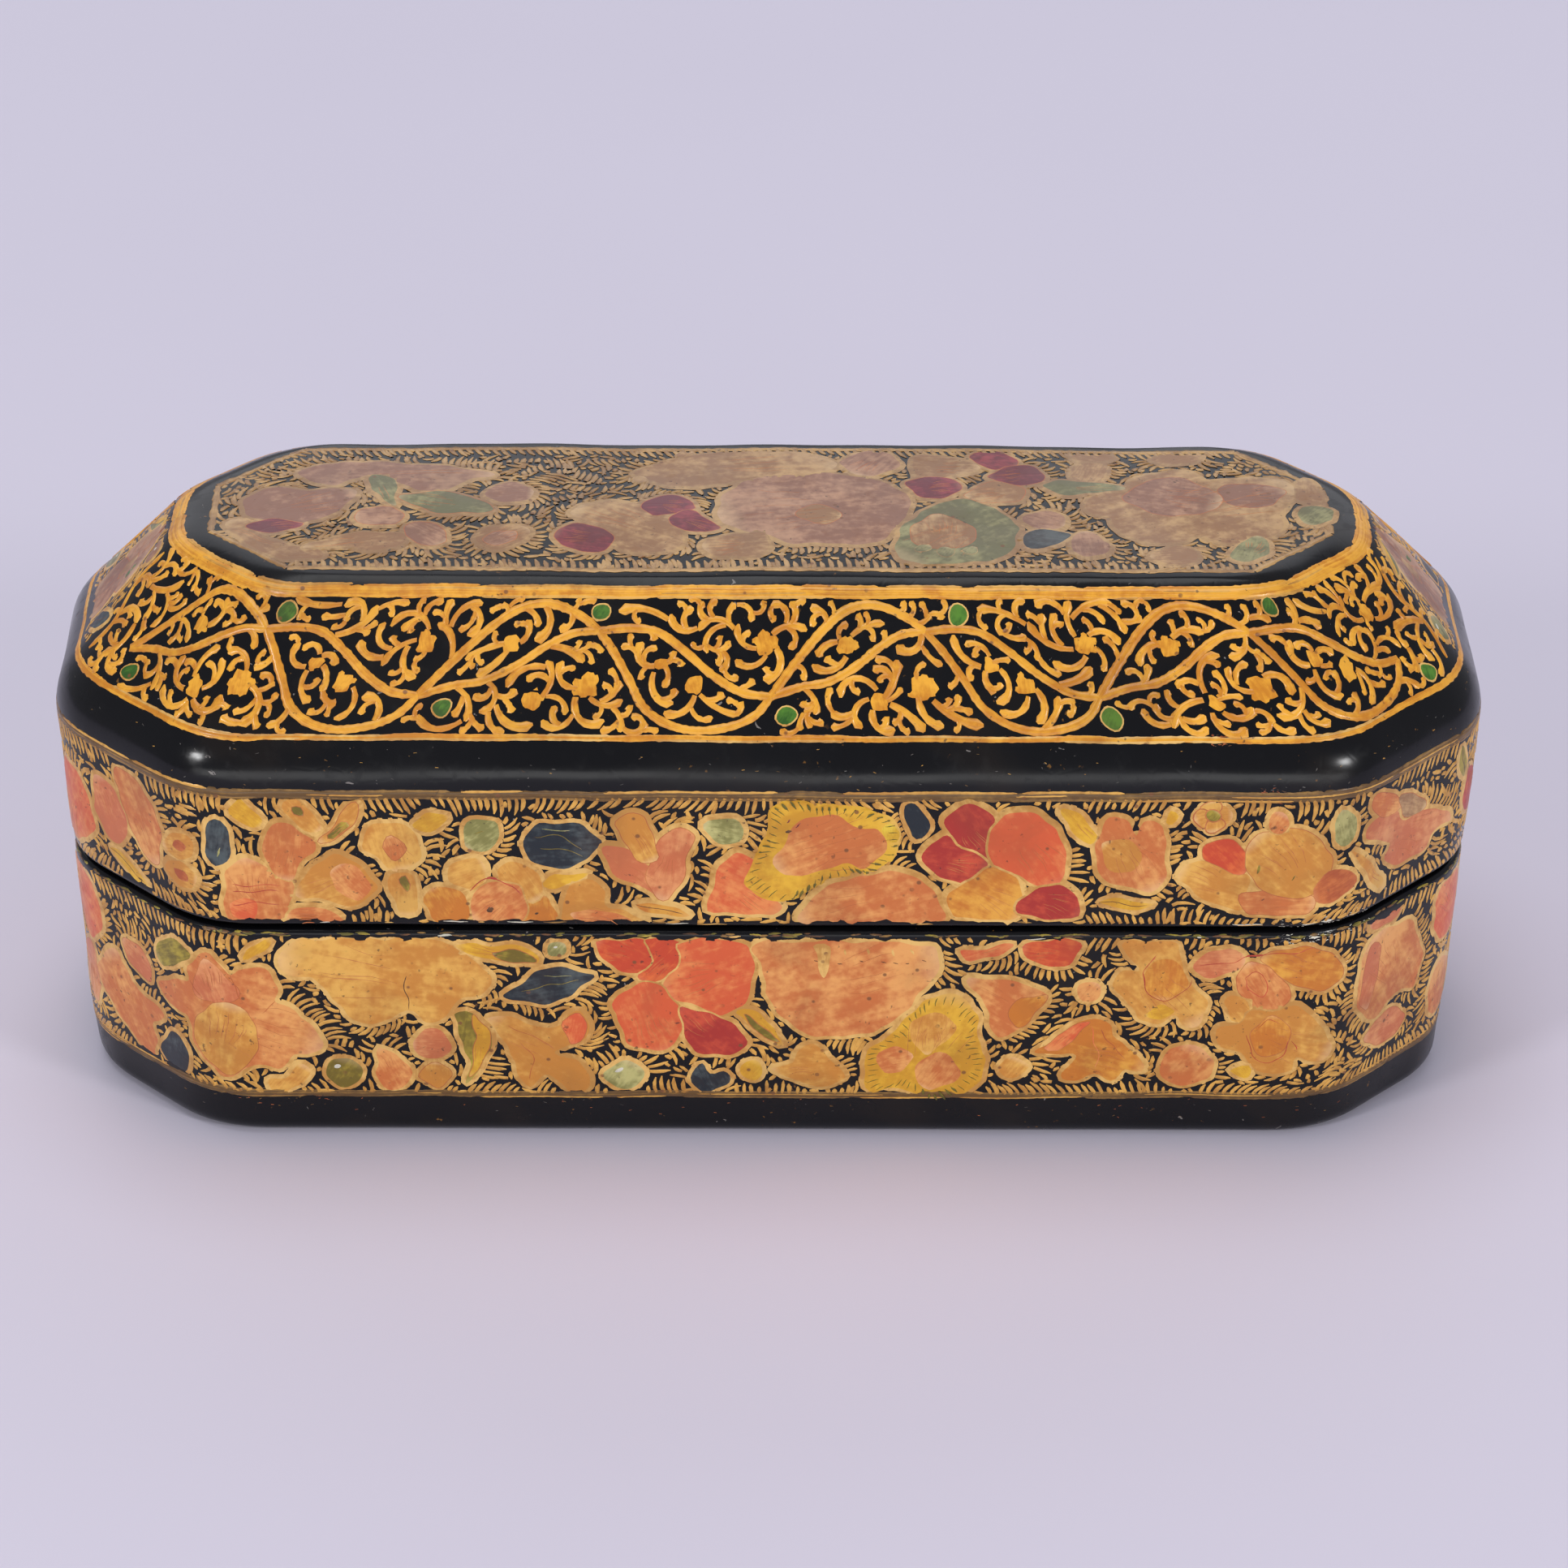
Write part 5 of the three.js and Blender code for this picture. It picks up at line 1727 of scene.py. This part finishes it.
def paint_skirt():
    on = Painting("lid_skirt", lid_wall, "lid", low=0.95, high=10.95, seed=12)
    lid_bouquet(on)
    on.copy_at(ROUND / 2, salmon="ochre", rose="salmon", crimson="vermilion", vermilion="rose")
    lid_bouquet(on)
    on.copy_at(0)
    for middle in (-END_MIDDLE, END_MIDDLE):
        end_spray(on, middle, 1, 10, "rose", "salmon", "ochre")
    room = Room(on.left, on.wide, on.low - 0.1, on.high, True)
    on.fill_ground(room, 8000)
    on.border(11.25, 0.85, 3)
    # Painted highlights: short white and cream glints, with some dark gold, along the lid's lower edge.
    on.edge_wear_and_painted_highlights(0.8, 46, (0.4, 2.2), ("outline", "white", "border"))
    on.flecks((-55, 55), (11.8, 14.6), 90, ("border", "chip", "ground"))
    on.flecks((33.4, 35.6), (10.8, 12), 44, ("russet", "umber"))
    on.flecks((35.5, 43), (0.4, 1.2), 70, ("chip", "white"))
    on.finish()


def paint_slope():
    on = Painting("lid_slope", lid_wall, "lid", low=15.2, high=26.4, seed=13)
    room = Room(on.left, on.wide, 15.7, 25.3, True, 0.5)
    for p in (-END_MIDDLE, END_MIDDLE):
        room.fill(np.array([(p - 7, 15), (p + 7, 15), (p + 7, 26), (p - 7, 26)]))
    vines = []
    for shift in (0, ROUND / 2):
        on.copy_at(shift)
        vines += front_scrolls(on, room)
        for p in (-54.6, 53.6):
            x = p + shift
            stem = smooth([(x, 16.4), (x + 0.6, 19), (x - 0.5, 22), (x + 0.4, 24.6)])
            on.stroke(on.gold, stem, 0.6, "scroll", 0.05, 0)
            room.take(smooth(stem, step=0.12))
            vines.append(stem)
    on.copy_at(0)
    on.grow(room, vines, 9000, (2.6, 4), (0.44, 0.6))
    on.grow(room, vines, 16000, (1.5, 2.4), (0.4, 0.54))
    on.grow(room, vines, 24000, (0.95, 1.5), (0.38, 0.48))
    on.border(15.35, 0.55, 2, "scroll", ("scroll", "scroll", "outline"))
    on.border(25.7, 1.1, 4, "scroll", ("scroll", "scroll", "ground"))
    on.flecks((30.6, 32), (14.9, 15.7), 40, ("russet", "umber"))
    on.finish()


def paint_lid_ends():
    """The sprays on the end slopes, in greyer and duller paints, among gold strokes."""
    on = Painting("lid_ends", lid_wall, "lid", low=16, high=25, seed=15)
    for middle in (-END_MIDDLE, END_MIDDLE):
        on.copy_at(0, salmon="dusk", rose="dusk", ochre="fawn", olive="sage")
        end_spray(on, middle, 16, 9, "salmon", "rose", "ochre")
    room = Room(on.left, on.wide, on.low, on.high, True)
    for left, right in ((7 - END_MIDDLE, END_MIDDLE - 7), (END_MIDDLE + 7, ROUND - END_MIDDLE - 7)):
        room.fill(np.array([(left, 10), (right, 10), (right, 30), (left, 30)]))
    on.fill_ground(room, 3000, comb=False)
    on.finish()


def paint_top():
    on = Painting("lid_top", top_face, "lid", low=-8.8, high=8.8, seed=14, around=False)
    on.copy_at(0, salmon="dusk", rose="dusk", ochre="fawn", olive="sage", pearl="sage",
               crimson="wine", straw="fawn", amber="fawn", outline="tan", ground="tan")
    top_bouquet(on)
    long, wide, long_cut, wide_cut = 39.4, 9.2, 33.6, 3.4
    room = Room(-39.2, 78.4, -wide, wide, False)
    for sx in (-1, 1):
        for sy in (-1, 1):
            room.fill(np.array([(33.4, 9.6), (39.6, 3.4), (44, 3), (44, 12), (33, 12)]) * (sx, sy))
    for side in (-1, 1):
        way = np.array([0.15, -side])
        for x in np.arange(-33, 33, 0.62):
            on.comma(room, np.array([x, side * wide]), way, on.random.uniform(0.9, 1.5), 0.3, 0.36)
    on.fill_ground(room, 7000, 0.5, (0.3, 0.44))
    edge = [(-long, wide_cut), (-long_cut, wide), (long_cut, wide), (long, wide_cut)]
    edge += [(-x, -y) for x, y in edge]
    for a, b in zip(edge, edge[1:] + edge[:1]):
        on.stroke(on.gold, smooth([a, b], step=0.35), 0.55, "tan", ends=(1, 1), grain=0.3)
    on.finish()


# Camera, floor and light
LENS_ABOVE, LENS_ASIDE, LENS_TILT = 30.11, -0.56, 0.46  # in degrees
LENS_AWAY, LENS_AIM = 415.64, (1.1, 0, 19.41)  # in mm
SENSOR, FOCAL_SHARE = 36, 7026.16 / 1932  # the lens, as a share of the picture's width


def set_camera():
    """The photograph's view: a long lens, 30 degrees above the table."""
    up_angle, side_angle, roll = (math.radians(a) for a in (LENS_ABOVE, LENS_ASIDE, LENS_TILT))
    back = Vector(
        (
            math.sin(side_angle) * math.cos(up_angle),
            -math.cos(side_angle) * math.cos(up_angle),
            math.sin(up_angle),
        )
    )
    right = (-back).cross(Vector((0, 0, 1))).normalized()
    up = right.cross(-back)
    turned_right = right * math.cos(roll) + up * math.sin(roll)
    turned_up = up * math.cos(roll) - right * math.sin(roll)
    eye = Vector(LENS_AIM) * MM + back * LENS_AWAY * MM
    turn = Matrix((turned_right, turned_up, back)).transposed().to_4x4()
    data = bpy.data.cameras.new("photo_view")
    data.sensor_width = SENSOR
    data.lens = FOCAL_SHARE * SENSOR
    data.clip_start = 0.01
    camera = bpy.data.objects.new("photo_view", data)
    camera.matrix_world = Matrix.Translation(eye) @ turn
    bpy.context.scene.collection.objects.link(camera)
    bpy.context.scene.camera = camera


def softbox(name, place, target, size, power, colour=(1, 1, 1)):
    data = bpy.data.lights.new(name, "AREA")
    data.shape = "RECTANGLE"
    data.size, data.size_y = size
    data.energy = power
    data.color = colour
    lamp = bpy.data.objects.new(name, data)
    lamp.location = place
    lamp.rotation_euler = (Vector(target) - Vector(place)).to_track_quat("-Z", "Y").to_euler()
    bpy.context.scene.collection.objects.link(lamp)


def set_light():
    world = bpy.data.worlds.new("studio")
    world.use_nodes = True
    tree = world.node_tree
    background = tree.nodes["Background"]
    background.inputs["Color"].default_value = (0.9, 0.91, 1.0, 1)
    background.inputs["Strength"].default_value = 0.35
    bpy.context.scene.world = world
    softbox("overhead", (-0.1, 0.05, 0.95), (0, 0, 0.02), (0.7, 0.5), 2.9)
    softbox("front_fill", (0, -1.6, 0.2), (0, 0, 0.02), (3.2, 0.36), 9)
    softbox("behind", (0, 0.9, 0.55), (0, 0, 0.03), (1.6, 0.6), 2.6, (0.93, 0.94, 1.0))
    for name, x in (("left_sparkle", -0.62), ("right_sparkle", 0.62)):
        softbox(name, (x, -0.55, 0.42), (0, 0, 0.03), (0.13, 0.13), 2)
    bpy.context.scene.view_settings.view_transform = "Standard"


def set_floor():
    mesh = bpy.data.meshes.new("table_top")
    half = 3.0
    corners = [(-half, -half, 0), (half, -half, 0), (half, half, 0), (-half, half, 0)]
    mesh.from_pydata(corners, [], [(0, 1, 2, 3)])
    material = bpy.data.materials.new("table_paper")
    material.use_nodes = True
    tree = material.node_tree
    shader = tree.nodes["Principled BSDF"]
    shader.inputs["Roughness"].default_value = 0.9
    shader.inputs["Specular IOR Level"].default_value = 0.1
    cloud = noise(tree, object_place(tree), 6.0, 3.0)
    tint = blend_colours(tree, cloud, srgb(213, 208, 224), srgb(223, 218, 234))
    tree.links.new(tint, shader.inputs["Base Color"])
    mesh.materials.append(material)
    floor = bpy.data.objects.new("table_top", mesh)
    bpy.context.scene.collection.objects.link(floor)


set_camera()
set_light()
set_floor()

black = black_lacquer("black lacquer")
build_base(black)
build_lid(black)
paint_base()
paint_skirt()
paint_slope()
paint_lid_ends()
paint_top()
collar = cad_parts["inner_collar"]
collar.data.materials.clear()
collar.data.materials.append(inside_lacquer("collar lacquer"))
